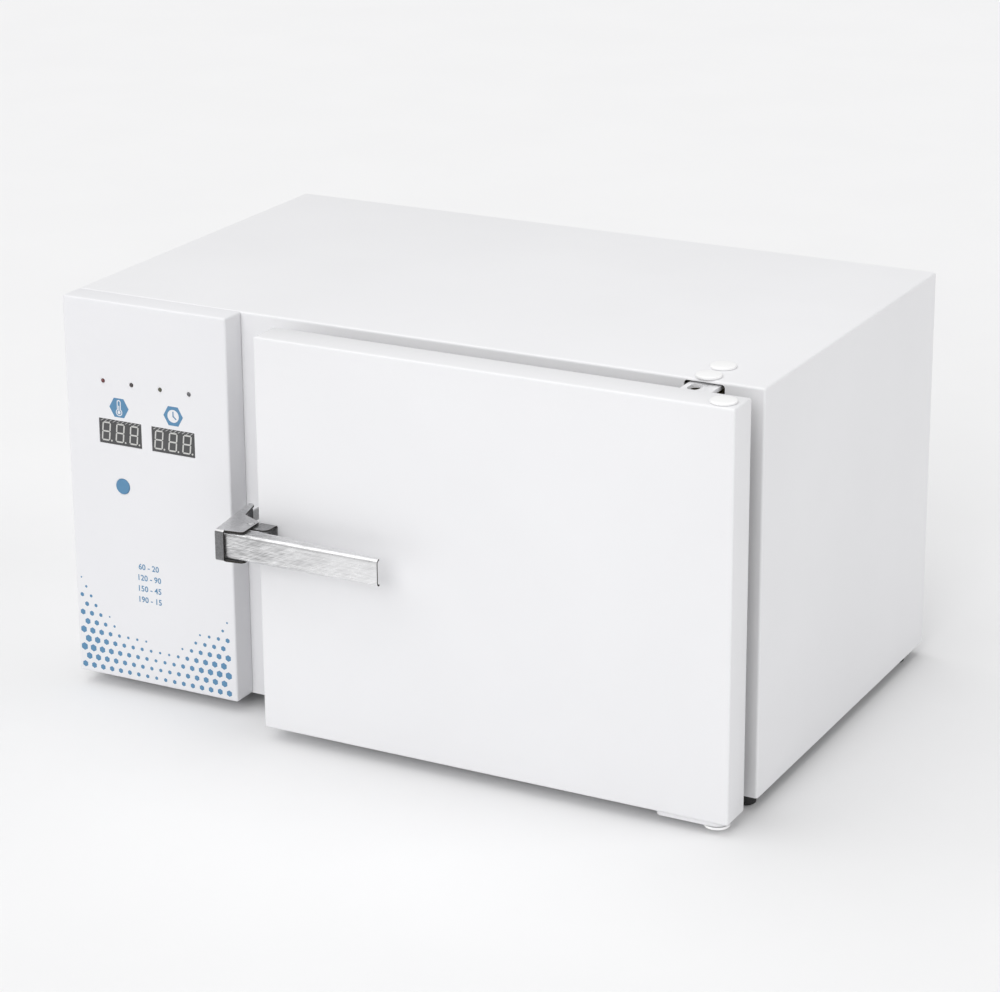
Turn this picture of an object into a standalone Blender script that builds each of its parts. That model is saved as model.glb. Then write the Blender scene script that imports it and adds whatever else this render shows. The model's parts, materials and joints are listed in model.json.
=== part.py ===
# Bench dry heat sterilizer: a sheet steel cabinet with a door hinged on its right side.
# Places are written from the cabinet's own corner: x runs right from its left side,
# y runs back from its front sheet and z runs up from its bottom sheet.

import math

import bmesh
import bpy
from mathutils import Vector

for thing in list(bpy.data.objects):
    bpy.data.objects.remove(thing, do_unlink=True)

mm = 0.001

# Cabinet
cabinet_width = 572 * mm
cabinet_depth = 335 * mm
cabinet_height = 308 * mm
sheet = 1.2 * mm
bend_radius = 2.5 * mm
bend_steps = 3
fit_gap = 0.3 * mm
overrun = 6 * mm
base_flange = 14 * mm
round_sides = 32
small_sides = 20

# Rubber feet
foot_height = 10 * mm
foot_radius = 9 * mm
foot_taper = 1.2 * mm
foot_edge = 1 * mm
foot_from_left = 35 * mm
foot_from_right = 14 * mm
foot_from_front = 12 * mm
foot_from_rear = 25 * mm

# Control box on the left front
panel_width = 147 * mm
panel_reach = 22 * mm
panel_seam = 0.6 * mm
wire_opening_side = 20 * mm
wire_opening_bottom = 60 * mm
wire_opening_top = 48 * mm

# Displays
display_width = 39 * mm
display_height = 20 * mm
display_body = 9 * mm
display_recess = 0.4 * mm
display_left_x = 29 * mm
display_right_x = 77.2 * mm
display_bottom_z = 194 * mm

# Indicator lights
led_radius = 1.5 * mm
led_hole_play = 0.3 * mm
led_proud = 1.2 * mm
led_z = 244.3 * mm
led_first_x = 34.5 * mm
led_pitch = 26 * mm
led_names = ("led_1", "led_2", "led_3", "led_4")
led_colours = ((0.75, 0.03, 0.02), (0.16, 0.05, 0.04), (0.22, 0.26, 0.08), (0.45, 0.45, 0.42))

# Program button
button_x = 48.8 * mm
button_z = 160.9 * mm
button_radius = 6.2 * mm
button_play = 0.35 * mm
button_proud = 0.6 * mm
button_edge = 0.4 * mm
button_flange = 1.4 * mm
button_flange_thickness = 1.4 * mm
button_stem_radius = 2.5 * mm
button_stem_length = 1.6 * mm
button_travel = 1.2 * mm
switch_size = 12 * mm

# Control board behind the panel
board_thickness = 1.6 * mm
board_side = 12 * mm
board_bottom_z = 140 * mm
board_top_z = 262 * mm
standoff_radius = 3 * mm
standoff_inset = 8 * mm

# Door
corridor_width = 43 * mm
door_thickness = 29 * mm
door_stand_off = 23 * mm
door_flange = 14 * mm
brim_inset = 5 * mm
brim_top_drop = 16 * mm
pan_sheet = 1 * mm
pan_border = 1 * mm
pan_radius = 3 * mm
pad_gap = 0.5 * mm
door_fill_bottom = 9 * mm

# Door gasket
gasket_thickness = 4.4 * mm
gasket_width = 12 * mm
gasket_from_opening = 1 * mm

# Chamber
chamber_side_margin = 32 * mm
chamber_from_door_edge = 32 * mm
chamber_bottom = 35 * mm
chamber_top_margin = 37 * mm
chamber_rear_margin = 73 * mm
chamber_wall = 1 * mm
chamber_flange = 9 * mm

# Insulation round the chamber
insulation_top_drop = 13 * mm
insulation_lift = 9 * mm
insulation_rear = 30 * mm
heater_thickness = 2.5 * mm
heater_inset = 24 * mm

# Partition between the controls and the chamber
partition_from_door_edge = 2 * mm
partition_top_drop = 4 * mm
partition_rear_margin = 35 * mm

# Temperature probe
probe_radius = 2 * mm
probe_play = 0.4 * mm
probe_inside = 26 * mm
probe_collar_radius = 6 * mm
probe_collar_length = 8 * mm
probe_top_drop = 26 * mm

# Overheat cutout on the partition
cutout_radius = 12 * mm
cutout_body_radius = 8 * mm
cutout_flange = 1.5 * mm
cutout_length = 12 * mm
cutout_y = 150 * mm
cutout_z = 190 * mm

# Runners and trays
runner_front = 14 * mm
runner_rear_gap = 6 * mm
runner_height = 12 * mm
runner_shelf = 10 * mm
runner_sheet = 1.2 * mm
lower_runner_z = 95 * mm
upper_runner_z = 178 * mm
tray_front = 32 * mm
tray_rear_gap = 8 * mm
tray_side_gap = 2 * mm
tray_sheet = 1 * mm
tray_rim = 11 * mm
tray_slot_rows = 4
tray_slot_columns = 9
tray_slot_width = 8 * mm
tray_slot_border = 22 * mm
tray_slot_bridge = 9 * mm

# Hinge arms and pins
hinge_from_right = 13 * mm
hinge_from_front = 11 * mm
arm_drop = 3.5 * mm
lower_arm_drop = 0.8 * mm
arm_thickness = 3 * mm
arm_from_right = 46 * mm
arm_width = 24 * mm
arm_end_radius = 8 * mm
arm_corner = 5 * mm
arm_inner_corner = 0.4 * mm
arm_rear = 42 * mm
arm_slot_width = 9 * mm
arm_slot_length = 15 * mm
arm_slot_aside = 3.5 * mm
arm_slot_y = -7.5 * mm
slot_width = 31 * mm
slot_depth = 12 * mm
notch_side = 6 * mm
pin_radius = 3 * mm
pin_play = 0.4 * mm
pin_reach = 4 * mm
cap_radius = 9.5 * mm
cap_height = 3 * mm
cap_edge = 1.1 * mm
cap_front_y = 7.7 * mm
cap_rear_y = 32.6 * mm
cap_shank_radius = 2.6 * mm
cap_shank_play = 0.4 * mm
screw_head_radius = 5 * mm
screw_head_height = 2 * mm
screw_reach = 6 * mm

# Latch
latch_z = 154.8 * mm
pivot_from_edge = 0.5 * mm
pivot_from_door = 10.5 * mm
latch_pin_radius = 2.4 * mm
latch_pin_play = 0.3 * mm
latch_pin_dome = 0.5 * mm
lever_half = 9.2 * mm
lever_sheet = 1.4 * mm
latch_play = 0.3 * mm
lever_front_reach = 20.5 * mm
lever_left_reach = 14.5 * mm
lever_right_reach = 118.5 * mm
lever_flange = 12 * mm
lever_end_flange = 3.5 * mm
lever_ear_left = 2.5 * mm
lever_ear_right = 5 * mm
lever_ear_back = 5.5 * mm
lever_corner = 2 * mm
hook_sheet = 1.5 * mm
hook_front_reach = 22.8 * mm
hook_left_reach = 17.3 * mm
hook_right_reach = 4.8 * mm
hook_tip_right = 3.4 * mm
hook_front_slant = 3.6 * mm
hook_tip_reach = 5.6 * mm
hook_step_back = 14.6 * mm
hook_step_left = 14.3 * mm
finger_right_left = 20 * mm
finger_right_back = 36 * mm
finger_left_reach = 25.8 * mm
finger_back_reach = 40 * mm
hook_web_width = 7 * mm
hook_web_inset = 0.2 * mm
hook_corner = 3 * mm
roller_radius = 2.2 * mm
roller_left = 21.9 * mm
roller_back = 33.2 * mm
bracket_sheet = 1 * mm
bracket_right = 17 * mm
bracket_left = 4 * mm
bracket_ear_left = 4.5 * mm
bracket_ear_front = 5.5 * mm
bracket_corner = 3 * mm
bracket_nose = 6 * mm

# Keeper beside the hook
strike_sheet = 1.5 * mm
strike_side_play = 0.9 * mm
strike_reach = 34 * mm
strike_base = 13 * mm
strike_play = 0.6 * mm
strike_leg_half = 4.5 * mm

# Boards and parts in the left bay
power_board_left = 30 * mm
power_board_width = 100 * mm
power_board_front = 30 * mm
power_board_depth = 100 * mm
power_board_height = 12 * mm
relay_width = 30 * mm
relay_depth = 26 * mm
relay_height = 32 * mm
relay_inset = 14 * mm
transformer_left = 38 * mm
transformer_width = 56 * mm
transformer_from_rear = 77 * mm
transformer_depth = 48 * mm
transformer_height = 44 * mm
transformer_edge = 2 * mm

# Mains inlet on the rear
inlet_x = 84 * mm
inlet_z = 52 * mm
inlet_flange_width = 48 * mm
inlet_flange_height = 28 * mm
inlet_flange = 3 * mm
inlet_body_width = 28 * mm
inlet_body_height = 20 * mm
inlet_body_depth = 24 * mm
inlet_recess_width = 24 * mm
inlet_recess_height = 16 * mm
inlet_recess_depth = 16 * mm
inlet_pin_width = 2 * mm
inlet_pin_height = 4 * mm
inlet_pin_pitch = 7 * mm
inlet_pin_depth = 12 * mm

# Vents in the rear sheet
vent_rows = 6
vent_pitch = 9 * mm
vent_height = 3 * mm
vent_width = 70 * mm
vent_left = 40 * mm
vent_top_drop = 60 * mm

# Places that follow from the sizes above
door_left = panel_width + corridor_width
door_back_y = -door_stand_off
door_front_y = -(door_stand_off + door_thickness)
door_right = cabinet_width
chamber_left = door_left + chamber_from_door_edge
chamber_right = cabinet_width - chamber_side_margin
chamber_top = cabinet_height - chamber_top_margin
chamber_depth = cabinet_depth - chamber_rear_margin
partition_depth = cabinet_depth - partition_rear_margin
transformer_back = cabinet_depth - transformer_from_rear
hinge_x = cabinet_width - hinge_from_right
hinge_y = door_front_y + hinge_from_front
arm_x = cabinet_width - arm_from_right
pivot_x = door_left + pivot_from_edge
pivot_y = door_front_y - pivot_from_door
fascia_top = cabinet_height - sheet - fit_gap
inner_left = sheet + fit_gap
inner_right = cabinet_width - sheet - fit_gap
hook_left = pivot_x - hook_left_reach
hook_front = pivot_y - hook_front_reach
finger_left = pivot_x - finger_left_reach
lever_left = pivot_x - lever_left_reach
lever_right = pivot_x + lever_right_reach
lever_front = pivot_y - lever_front_reach
front_reach = -hook_front
rear_reach = cabinet_depth + fit_gap + inlet_flange
origin_x = cabinet_width / 2
origin_y = (rear_reach - front_reach) / 2
origin_z = -foot_height


def at(x, y, z):
    return Vector((x - origin_x, y - origin_y, z - origin_z))


parts = bpy.data.collections.new("dry_heat_sterilizer")
cutters = bpy.data.collections.new("cutters")
bpy.context.scene.collection.children.link(parts)
bpy.context.scene.collection.children.link(cutters)
cutters.hide_render = True

white_paint = ((0.86, 0.86, 0.87), 0.38, 0.0)
panel_paint = ((0.84, 0.84, 0.86), 0.42, 0.0)
steel = ((0.62, 0.61, 0.59), 0.3, 1.0)
dark_steel = ((0.3, 0.3, 0.3), 0.4, 1.0)
zinc = ((0.55, 0.56, 0.57), 0.45, 1.0)
black_rubber = ((0.02, 0.02, 0.02), 0.8, 0.0)
silicone = ((0.62, 0.6, 0.55), 0.6, 0.0)
wool = ((0.55, 0.5, 0.38), 0.95, 0.0)
green_board = ((0.03, 0.16, 0.07), 0.5, 0.0)
black_plastic = ((0.03, 0.03, 0.03), 0.4, 0.0)
display_lens = ((0.13, 0.13, 0.13), 0.3, 0.0)
blue_plastic = ((0.1, 0.3, 0.52), 0.3, 0.0)


def dress(obj, look):
    colour, roughness, metallic = look
    material = bpy.data.materials.new(obj.name)
    material.use_nodes = True
    shader = material.node_tree.nodes["Principled BSDF"]
    shader.inputs["Base Color"].default_value = (*colour, 1)
    shader.inputs["Roughness"].default_value = roughness
    shader.inputs["Metallic"].default_value = metallic
    obj.data.materials.append(material)


spots = {}


def pivot(name, spot, parent=None):
    """An empty on a joint's axis, for the pieces that turn or slide together."""
    empty = bpy.data.objects.new(name, None)
    parts.objects.link(empty)
    empty.parent = parent
    empty.location = spot - (spots[parent.name] if parent else Vector())
    spots[name] = spot
    return empty


def add(name, mesh, spot, look=None, parent=None):
    """Puts a mesh at a spot: with a look it is a piece, without one a hidden cutter."""
    obj = bpy.data.objects.new(name, mesh)
    if look:
        parts.objects.link(obj)
        dress(obj, look)
    else:
        cutters.objects.link(obj)
        obj.hide_render = True
        obj.display_type = "WIRE"
    obj.parent = parent
    obj.location = spot - (spots[parent.name] if parent else Vector())
    return obj


def box_mesh(name, blocks, spot):
    form = bmesh.new()
    for x, y, z in blocks:
        made = bmesh.ops.create_cube(form, size=1)
        low, high = at(x[0], y[0], z[0]), at(x[1], y[1], z[1])
        bmesh.ops.scale(form, vec=high - low, verts=made["verts"])
        bmesh.ops.translate(form, vec=(low + high) / 2 - spot, verts=made["verts"])
    mesh = bpy.data.meshes.new(name)
    form.to_mesh(mesh)
    form.free()
    return mesh


def box(name, x, y, z, look=None, parent=None, edge=0, steps=2):
    """A box between two places on each axis, with its edges rounded if edge is given."""
    low, high = at(x[0], y[0], z[0]), at(x[1], y[1], z[1])
    spot = (low + high) / 2
    obj = add(name, box_mesh(name, [(x, y, z)], spot), spot, look, parent)
    if edge:
        rounding = obj.modifiers.new("edges", "BEVEL")
        rounding.width = edge
        rounding.segments = steps
    return obj


def boxes(name, blocks, parent=None):
    """Several separate boxes in one hidden cutter."""
    spot = at(blocks[0][0][0], blocks[0][1][0], blocks[0][2][0])
    return add(name, box_mesh(name, blocks, spot), spot, None, parent)


def turned(name, profile, spot, look=None, parent=None, tilt=(0, 0, 0), sides=round_sides):
    """A turned piece: its profile of radius and height runs down its outer side."""
    mesh = bpy.data.meshes.new(name)
    ends = range(len(profile) - 1)
    mesh.from_pydata([(r, 0, h) for r, h in profile], [(i, i + 1) for i in ends], [])
    obj = add(name, mesh, spot, look, parent)
    obj.rotation_euler = tilt
    turn = obj.modifiers.new("turn", "SCREW")
    turn.steps = sides
    turn.render_steps = sides
    turn.use_merge_vertices = True
    turn.merge_threshold = fit_gap / 100
    turn.use_smooth_shade = True
    return obj


facing_front = (math.pi / 2, 0, 0)
facing_back = (-math.pi / 2, 0, 0)
facing_left = (0, -math.pi / 2, 0)


def rod_profile(radius, low, high):
    return [(0, high), (radius, high), (radius, low), (0, low)]


def dome_profile(radius, edge, low, high):
    """A flat round cap whose top edge is rounded off."""
    rise = min(edge, radius, high - low)
    quarter = [math.radians(angle) for angle in (0, 30, 60, 90)]
    rim = [(radius - rise + rise * math.sin(a), high - rise + rise * math.cos(a)) for a in quarter]
    return [(0, high), *rim, (radius, low)]


def arc(centre, radius, start, end, count):
    turns = [start + (end - start) * i / (count - 1) for i in range(count)]
    return [(centre[0] + radius * math.cos(a), centre[1] + radius * math.sin(a)) for a in turns]


def ring(x, y, radius, count=small_sides):
    return arc((x, y), radius, 0, math.tau * (count - 1) / count, count)


def oblong(x, y, width, length):
    """A slot with round ends that runs along y."""
    half = (length - width) / 2
    count = small_sides // 2
    back = arc((x, y + half), width / 2, 0, math.pi, count)
    front = arc((x, y - half), width / 2, math.pi, math.tau, count)
    return back + front


def rounded(corners, count=5):
    """An outline whose corners, each an x, a y and a radius, are rounded off."""
    outline = []
    for i, (x, y, radius) in enumerate(corners):
        here = Vector((x, y))
        back = (Vector(corners[i - 1][:2]) - here).normalized()
        ahead = (Vector(corners[(i + 1) % len(corners)][:2]) - here).normalized()
        half = back.angle(ahead) / 2
        reach = radius / math.tan(half)
        centre = here + (back + ahead).normalized() * radius / math.sin(half)
        first, last = here + back * reach - centre, here + ahead * reach - centre
        sweep = math.pi - half * 2
        way = 1 if first.cross(last) > 0 else -1
        start = math.atan2(first.y, first.x)
        outline += arc(centre, radius, start, start + way * sweep, count)
    return outline


def plate(name, outlines, z, look=None, parent=None):
    """A flat plate from a filled 2D curve, whose further outlines are its holes."""
    curve = bpy.data.curves.new(name, "CURVE")
    curve.dimensions = "2D"
    curve.fill_mode = "BOTH"
    curve.extrude = (z[1] - z[0]) / 2
    x, y = outlines[0][0]
    spot = at(x, y, (z[0] + z[1]) / 2)
    for outline in outlines:
        spline = curve.splines.new("POLY")
        spline.points.add(len(outline) - 1)
        for point, (px, py) in zip(spline.points, outline):
            point.co = (px - x, py - y, 0, 1)
        spline.use_cyclic_u = True
    drawn = bpy.data.objects.new(name + "_outline", curve)
    cutters.objects.link(drawn)
    bpy.context.view_layer.update()
    graph = bpy.context.evaluated_depsgraph_get()
    mesh = bpy.data.meshes.new_from_object(drawn.evaluated_get(graph))
    bpy.data.objects.remove(drawn, do_unlink=True)
    form = bmesh.new()
    form.from_mesh(mesh)
    bmesh.ops.remove_doubles(form, verts=form.verts, dist=fit_gap / 100)
    bmesh.ops.recalc_face_normals(form, faces=form.faces)
    form.to_mesh(mesh)
    form.free()
    mesh.name = name
    return add(name, mesh, spot, look, parent)


def combine(obj, tool, operation):
    change = obj.modifiers.new(tool.name, "BOOLEAN")
    change.operation = operation
    change.object = tool
    change.solver = "EXACT"


def cut(obj, *tools):
    for tool in tools:
        combine(obj, tool, "DIFFERENCE")


def join(obj, *tools):
    for tool in tools:
        combine(obj, tool, "UNION")


def bore(name, x, y, z, radius, reach, tilt=(0, 0, 0), parent=None):
    """A round cutter whose axis passes through a place, reaching both ways along it."""
    return turned(name, rod_profile(radius, -reach, reach), at(x, y, z), None, parent, tilt, small_sides)


# Cover, base, front and rear sheets
cover = box("outer_cover", (0, cabinet_width), (0, cabinet_depth), (0, cabinet_height),
            white_paint, edge=bend_radius, steps=bend_steps)
cut(cover, box("cover_inside", (sheet, cabinet_width - sheet), (-overrun, cabinet_depth + overrun),
               (-overrun, cabinet_height - sheet)))
for end, y in (("front", cap_front_y), ("rear", cap_rear_y)):
    cut(cover, bore("cover_cap_hole_" + end, arm_x, y, cabinet_height,
                    cap_shank_radius + cap_shank_play, overrun))

base_back = cabinet_depth - sheet - fit_gap
base_front = sheet + fit_gap
base = box("base_pan", (inner_left, inner_right), (base_front, base_back - fit_gap), (0, base_flange), zinc)
cut(base, box("base_inside", (inner_left + sheet, inner_right - sheet),
              (base_front + sheet, base_back - fit_gap - sheet), (sheet, base_flange + overrun)))
for end, y in (("front", cap_front_y), ("rear", cap_rear_y)):
    cut(base, bore("base_screw_hole_" + end, arm_x, y, 0, cap_shank_radius + cap_shank_play, overrun))

rear = box("rear_panel", (inner_left, inner_right), (base_back, cabinet_depth - fit_gap),
           (0, fascia_top), white_paint)
vent_blocks = []
for row in range(vent_rows):
    vent_z = cabinet_height - vent_top_drop - row * vent_pitch
    vent_blocks.append(((vent_left, vent_left + vent_width), (base_back - overrun, cabinet_depth + overrun),
                        (vent_z, vent_z + vent_height)))
cut(rear, boxes("rear_vents", vent_blocks))
inlet_half_x = inlet_body_width / 2
inlet_half_z = inlet_body_height / 2
cut(rear, box("rear_inlet_hole", (inlet_x - inlet_half_x - fit_gap, inlet_x + inlet_half_x + fit_gap),
              (base_back - overrun, cabinet_depth + overrun),
              (inlet_z - inlet_half_z - fit_gap, inlet_z + inlet_half_z + fit_gap)))

fascia = box("front_fascia", (inner_left, inner_right), (0, sheet), (0, fascia_top), white_paint)
cut(fascia, box("fascia_chamber_hole", (chamber_left, chamber_right), (-overrun, sheet + overrun),
                (chamber_bottom, chamber_top)))
cut(fascia, box("fascia_wire_hole", (wire_opening_side, panel_width - wire_opening_side),
                (-overrun, sheet + overrun), (wire_opening_bottom, cabinet_height - wire_opening_top)))
cut(fascia, box("fascia_arm_slot", (arm_x - slot_width / 2, arm_x + slot_width / 2),
                (-overrun, sheet + overrun), (cabinet_height - slot_depth, cabinet_height)))

# Control box with its windows and holes
panel_front_y = -panel_reach
panel = box("control_panel_box", (0, panel_width), (panel_front_y, -panel_seam), (0, cabinet_height),
            panel_paint, edge=bend_radius, steps=bend_steps)
cut(panel, box("panel_inside", (sheet, panel_width - sheet), (panel_front_y + sheet, overrun),
               (sheet, cabinet_height - sheet)))
window_y = (panel_front_y - overrun, panel_front_y + sheet + overrun)
for side, x in (("left", display_left_x), ("right", display_right_x)):
    cut(panel, box("window_" + side, (x, x + display_width), window_y,
                   (display_bottom_z, display_bottom_z + display_height)))
cut(panel, bore("button_hole", button_x, panel_front_y, button_z, button_radius + button_play,
                overrun, facing_front))
for i, name in enumerate(led_names):
    cut(panel, bore("hole_" + name, led_first_x + i * led_pitch, panel_front_y, led_z,
                    led_radius + led_hole_play, overrun, facing_front))

# Displays, lights and button, all on one board
display_front_y = panel_front_y + display_recess
display_back_y = display_front_y + display_body
board_front_y = display_back_y + fit_gap
for side, x in (("left", display_left_x), ("right", display_right_x)):
    box("display_" + side, (x + fit_gap, x + display_width - fit_gap), (display_front_y, display_back_y),
        (display_bottom_z + fit_gap, display_bottom_z + display_height - fit_gap), display_lens)

board = box("control_board", (board_side, panel_width - board_side),
            (board_front_y, board_front_y + board_thickness), (board_bottom_z, board_top_z), green_board)
standoff_low = board_front_y + board_thickness / 2
standoff_high = panel_front_y + sheet + fit_gap
for i, x in enumerate((board_side + standoff_inset, panel_width - board_side - standoff_inset)):
    for k, z in enumerate((board_bottom_z + standoff_inset, board_top_z - standoff_inset)):
        join(board, turned(f"standoff_{i}{k}", rod_profile(standoff_radius, 0, standoff_low - standoff_high),
                           at(x, standoff_low, z), None, None, facing_front, small_sides))

led_length = board_front_y - fit_gap - panel_front_y + led_proud
for i, name in enumerate(led_names):
    turned(name, dome_profile(led_radius, led_radius, 0, led_length) + [(0, 0)],
           at(led_first_x + i * led_pitch, board_front_y - fit_gap, led_z),
           (led_colours[i], 0.25, 0.0), None, facing_front, small_sides)

button_face = panel_front_y - button_proud
flange_front = panel_front_y + sheet + fit_gap
flange_back = flange_front + button_flange_thickness
stem_back = flange_back + button_stem_length
button_axis = pivot("button_axis", at(button_x, stem_back, button_z))
flange_radius = button_radius + button_flange
button_profile = dome_profile(button_radius, button_edge, stem_back - flange_front, stem_back - button_face)
button_profile += [(flange_radius, stem_back - flange_front), (flange_radius, stem_back - flange_back)]
button_profile += [(button_stem_radius, stem_back - flange_back), (button_stem_radius, 0), (0, 0)]
turned("program_button", button_profile, at(button_x, stem_back, button_z), blue_plastic,
       button_axis, facing_front)
switch_half = switch_size / 2
box("button_switch", (button_x - switch_half, button_x + switch_half),
    (stem_back + button_travel + fit_gap, board_front_y - fit_gap),
    (button_z - switch_half, button_z + switch_half), black_plastic)

# Left bay: partition, overheat cutout, boards and transformer
partition_x = door_left - partition_from_door_edge
box("partition", (partition_x, partition_x + sheet), (base_front + sheet + fit_gap, partition_depth),
    (sheet + fit_gap, cabinet_height - partition_top_drop), zinc)
cutout_profile = [(0, cutout_length), (cutout_body_radius, cutout_length), (cutout_body_radius, cutout_flange),
                  (cutout_radius, cutout_flange), (cutout_radius, 0), (0, 0)]
turned("overheat_cutout", cutout_profile, at(partition_x - fit_gap, cutout_y, cutout_z), black_plastic,
       None, facing_left, small_sides)

board_x = (power_board_left, power_board_left + power_board_width)
board_y = (power_board_front, power_board_front + power_board_depth)
power = box("power_board", board_x, board_y, (power_board_height, power_board_height + board_thickness),
            green_board)
for i, x in enumerate((board_x[0] + standoff_inset, board_x[1] - standoff_inset)):
    for k, y in enumerate((board_y[0] + standoff_inset, board_y[1] - standoff_inset)):
        leg = power_board_height + board_thickness / 2 - sheet - fit_gap
        join(power, turned(f"board_leg_{i}{k}", rod_profile(standoff_radius, 0, leg),
                           at(x, y, sheet + fit_gap), None, None, (0, 0, 0), small_sides))
relay_bottom = power_board_height + board_thickness + fit_gap
relay_x = board_x[0] + relay_inset
relay_y = board_y[0] + relay_inset
box("relay", (relay_x, relay_x + relay_width), (relay_y, relay_y + relay_depth),
    (relay_bottom, relay_bottom + relay_height), black_plastic)
box("transformer", (transformer_left, transformer_left + transformer_width),
    (transformer_back - transformer_depth, transformer_back),
    (sheet + fit_gap, sheet + fit_gap + transformer_height), dark_steel, edge=transformer_edge)

# Mains inlet: flange outside the rear sheet, body through its hole
inlet_low_y = rear_reach - inlet_flange
inlet = box("mains_inlet", (inlet_x - inlet_flange_width / 2, inlet_x + inlet_flange_width / 2),
            (inlet_low_y, rear_reach),
            (inlet_z - inlet_flange_height / 2, inlet_z + inlet_flange_height / 2), black_plastic)
join(inlet, box("inlet_body", (inlet_x - inlet_half_x, inlet_x + inlet_half_x),
                (inlet_low_y - inlet_body_depth, rear_reach - inlet_flange / 2),
                (inlet_z - inlet_half_z, inlet_z + inlet_half_z)))
recess_back = rear_reach - inlet_recess_depth
cut(inlet, box("inlet_recess", (inlet_x - inlet_recess_width / 2, inlet_x + inlet_recess_width / 2),
               (recess_back, rear_reach + overrun),
               (inlet_z - inlet_recess_height / 2, inlet_z + inlet_recess_height / 2)))
for i in range(3):
    pin_x = inlet_x + (i - 1) * inlet_pin_pitch
    join(inlet, box(f"inlet_pin_{i}", (pin_x - inlet_pin_width / 2, pin_x + inlet_pin_width / 2),
                    (recess_back - inlet_pin_width, recess_back + inlet_pin_depth),
                    (inlet_z - inlet_pin_height / 2, inlet_z + inlet_pin_height / 2)))

# Chamber with its front flange, open at the front
flange_y = (sheet + fit_gap, sheet + fit_gap + chamber_wall)
shell_x = (chamber_left - chamber_wall, chamber_right + chamber_wall)
shell_z = (chamber_bottom - chamber_wall, chamber_top + chamber_wall)
chamber_back = chamber_depth + chamber_wall
chamber = box("chamber", (chamber_left - chamber_flange, chamber_right + chamber_flange), flange_y,
              (chamber_bottom - chamber_flange, chamber_top + chamber_flange), steel)
join(chamber, box("chamber_shell", shell_x, (flange_y[0] + chamber_wall / 2, chamber_back), shell_z))
cut(chamber, box("chamber_inside", (chamber_left, chamber_right), (-overrun, chamber_depth),
                 (chamber_bottom, chamber_top)))
probe_x = (chamber_left + chamber_right) / 2
probe_z = chamber_top - probe_top_drop
cut(chamber, bore("chamber_probe_hole", probe_x, chamber_back, probe_z, probe_radius + probe_play,
                  overrun, facing_back))

# Insulation wrapped round the chamber and its heaters
wool_front = flange_y[1] + fit_gap
wool_back = chamber_back + insulation_rear
heater_space = heater_thickness + fit_gap * 2
wrap = box("insulation_wrap", (partition_x + sheet + fit_gap, inner_right - sheet - fit_gap),
           (wool_front, wool_back), (insulation_lift, cabinet_height - insulation_top_drop), wool)
cut(wrap, box("wrap_inside", (shell_x[0] - fit_gap, shell_x[1] + fit_gap), (-overrun, chamber_back + fit_gap),
              (shell_z[0] - heater_space, shell_z[1] + heater_space)))
cut(wrap, bore("wrap_probe_hole", probe_x, wool_back, probe_z, probe_radius + probe_play,
               insulation_rear + overrun, facing_back))
heater_x = (chamber_left + heater_inset, chamber_right - heater_inset)
heater_y = (heater_inset, chamber_depth - heater_inset)
box("heater_bottom", heater_x, heater_y, (shell_z[0] - fit_gap - heater_thickness, shell_z[0] - fit_gap), zinc)
box("heater_top", heater_x, heater_y, (shell_z[1] + fit_gap, shell_z[1] + fit_gap + heater_thickness), zinc)

probe_tip = wool_back + fit_gap - (chamber_depth - probe_inside)
probe_profile = dome_profile(probe_radius, probe_radius, 0, probe_tip)
probe_profile += [(probe_collar_radius, 0), (probe_collar_radius, -probe_collar_length), (0, -probe_collar_length)]
turned("temperature_probe", probe_profile, at(probe_x, wool_back + fit_gap, probe_z), steel,
       None, facing_front, small_sides)

# Runners on the chamber's side walls, and the two trays that slide on them
runner_y = (runner_front, chamber_depth - runner_rear_gap)
tray_y = (tray_front, chamber_depth - tray_rear_gap)
for level, z in (("lower", lower_runner_z), ("upper", upper_runner_z)):
    for side, wall, inward in (("left", chamber_left, 1), ("right", chamber_right, -1)):
        near = wall + inward * fit_gap
        web = sorted((near, near + inward * runner_sheet))
        shelf = sorted((near + inward * runner_sheet / 2, near + inward * runner_shelf))
        rail = box(f"runner_{side}_{level}", web, runner_y, (z, z + runner_height), steel)
        join(rail, box(f"shelf_{side}_{level}", shelf, runner_y, (z, z + runner_sheet)))
    tray_axis = pivot(f"tray_axis_{level}", at(probe_x, tray_front, z))
    tray_low = z + runner_sheet + fit_gap
    side_gap = fit_gap + runner_sheet + tray_side_gap
    tray_x = (chamber_left + side_gap, chamber_right - side_gap)
    tray = box(f"tray_{level}", tray_x, tray_y, (tray_low, tray_low + tray_rim), steel, tray_axis)
    cut(tray, box(f"tray_inside_{level}", (tray_x[0] + tray_sheet, tray_x[1] - tray_sheet),
                  (tray_y[0] + tray_sheet, tray_y[1] - tray_sheet),
                  (tray_low + tray_sheet, tray_low + tray_rim + overrun), None, tray_axis))
    column_pitch = (tray_x[1] - tray_x[0] - 2 * tray_slot_border) / tray_slot_columns
    row_pitch = (tray_y[1] - tray_y[0] - 2 * tray_slot_border) / tray_slot_rows
    slots = []
    for column in range(tray_slot_columns):
        for row in range(tray_slot_rows):
            slot_x = tray_x[0] + tray_slot_border + (column + 0.5) * column_pitch
            slot_y = tray_y[0] + tray_slot_border + row * row_pitch + tray_slot_bridge / 2
            slots.append(((slot_x - tray_slot_width / 2, slot_x + tray_slot_width / 2),
                          (slot_y, slot_y + row_pitch - tray_slot_bridge),
                          (tray_low - overrun, tray_low + overrun)))
    cut(tray, boxes(f"tray_slots_{level}", slots, tray_axis))

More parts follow.
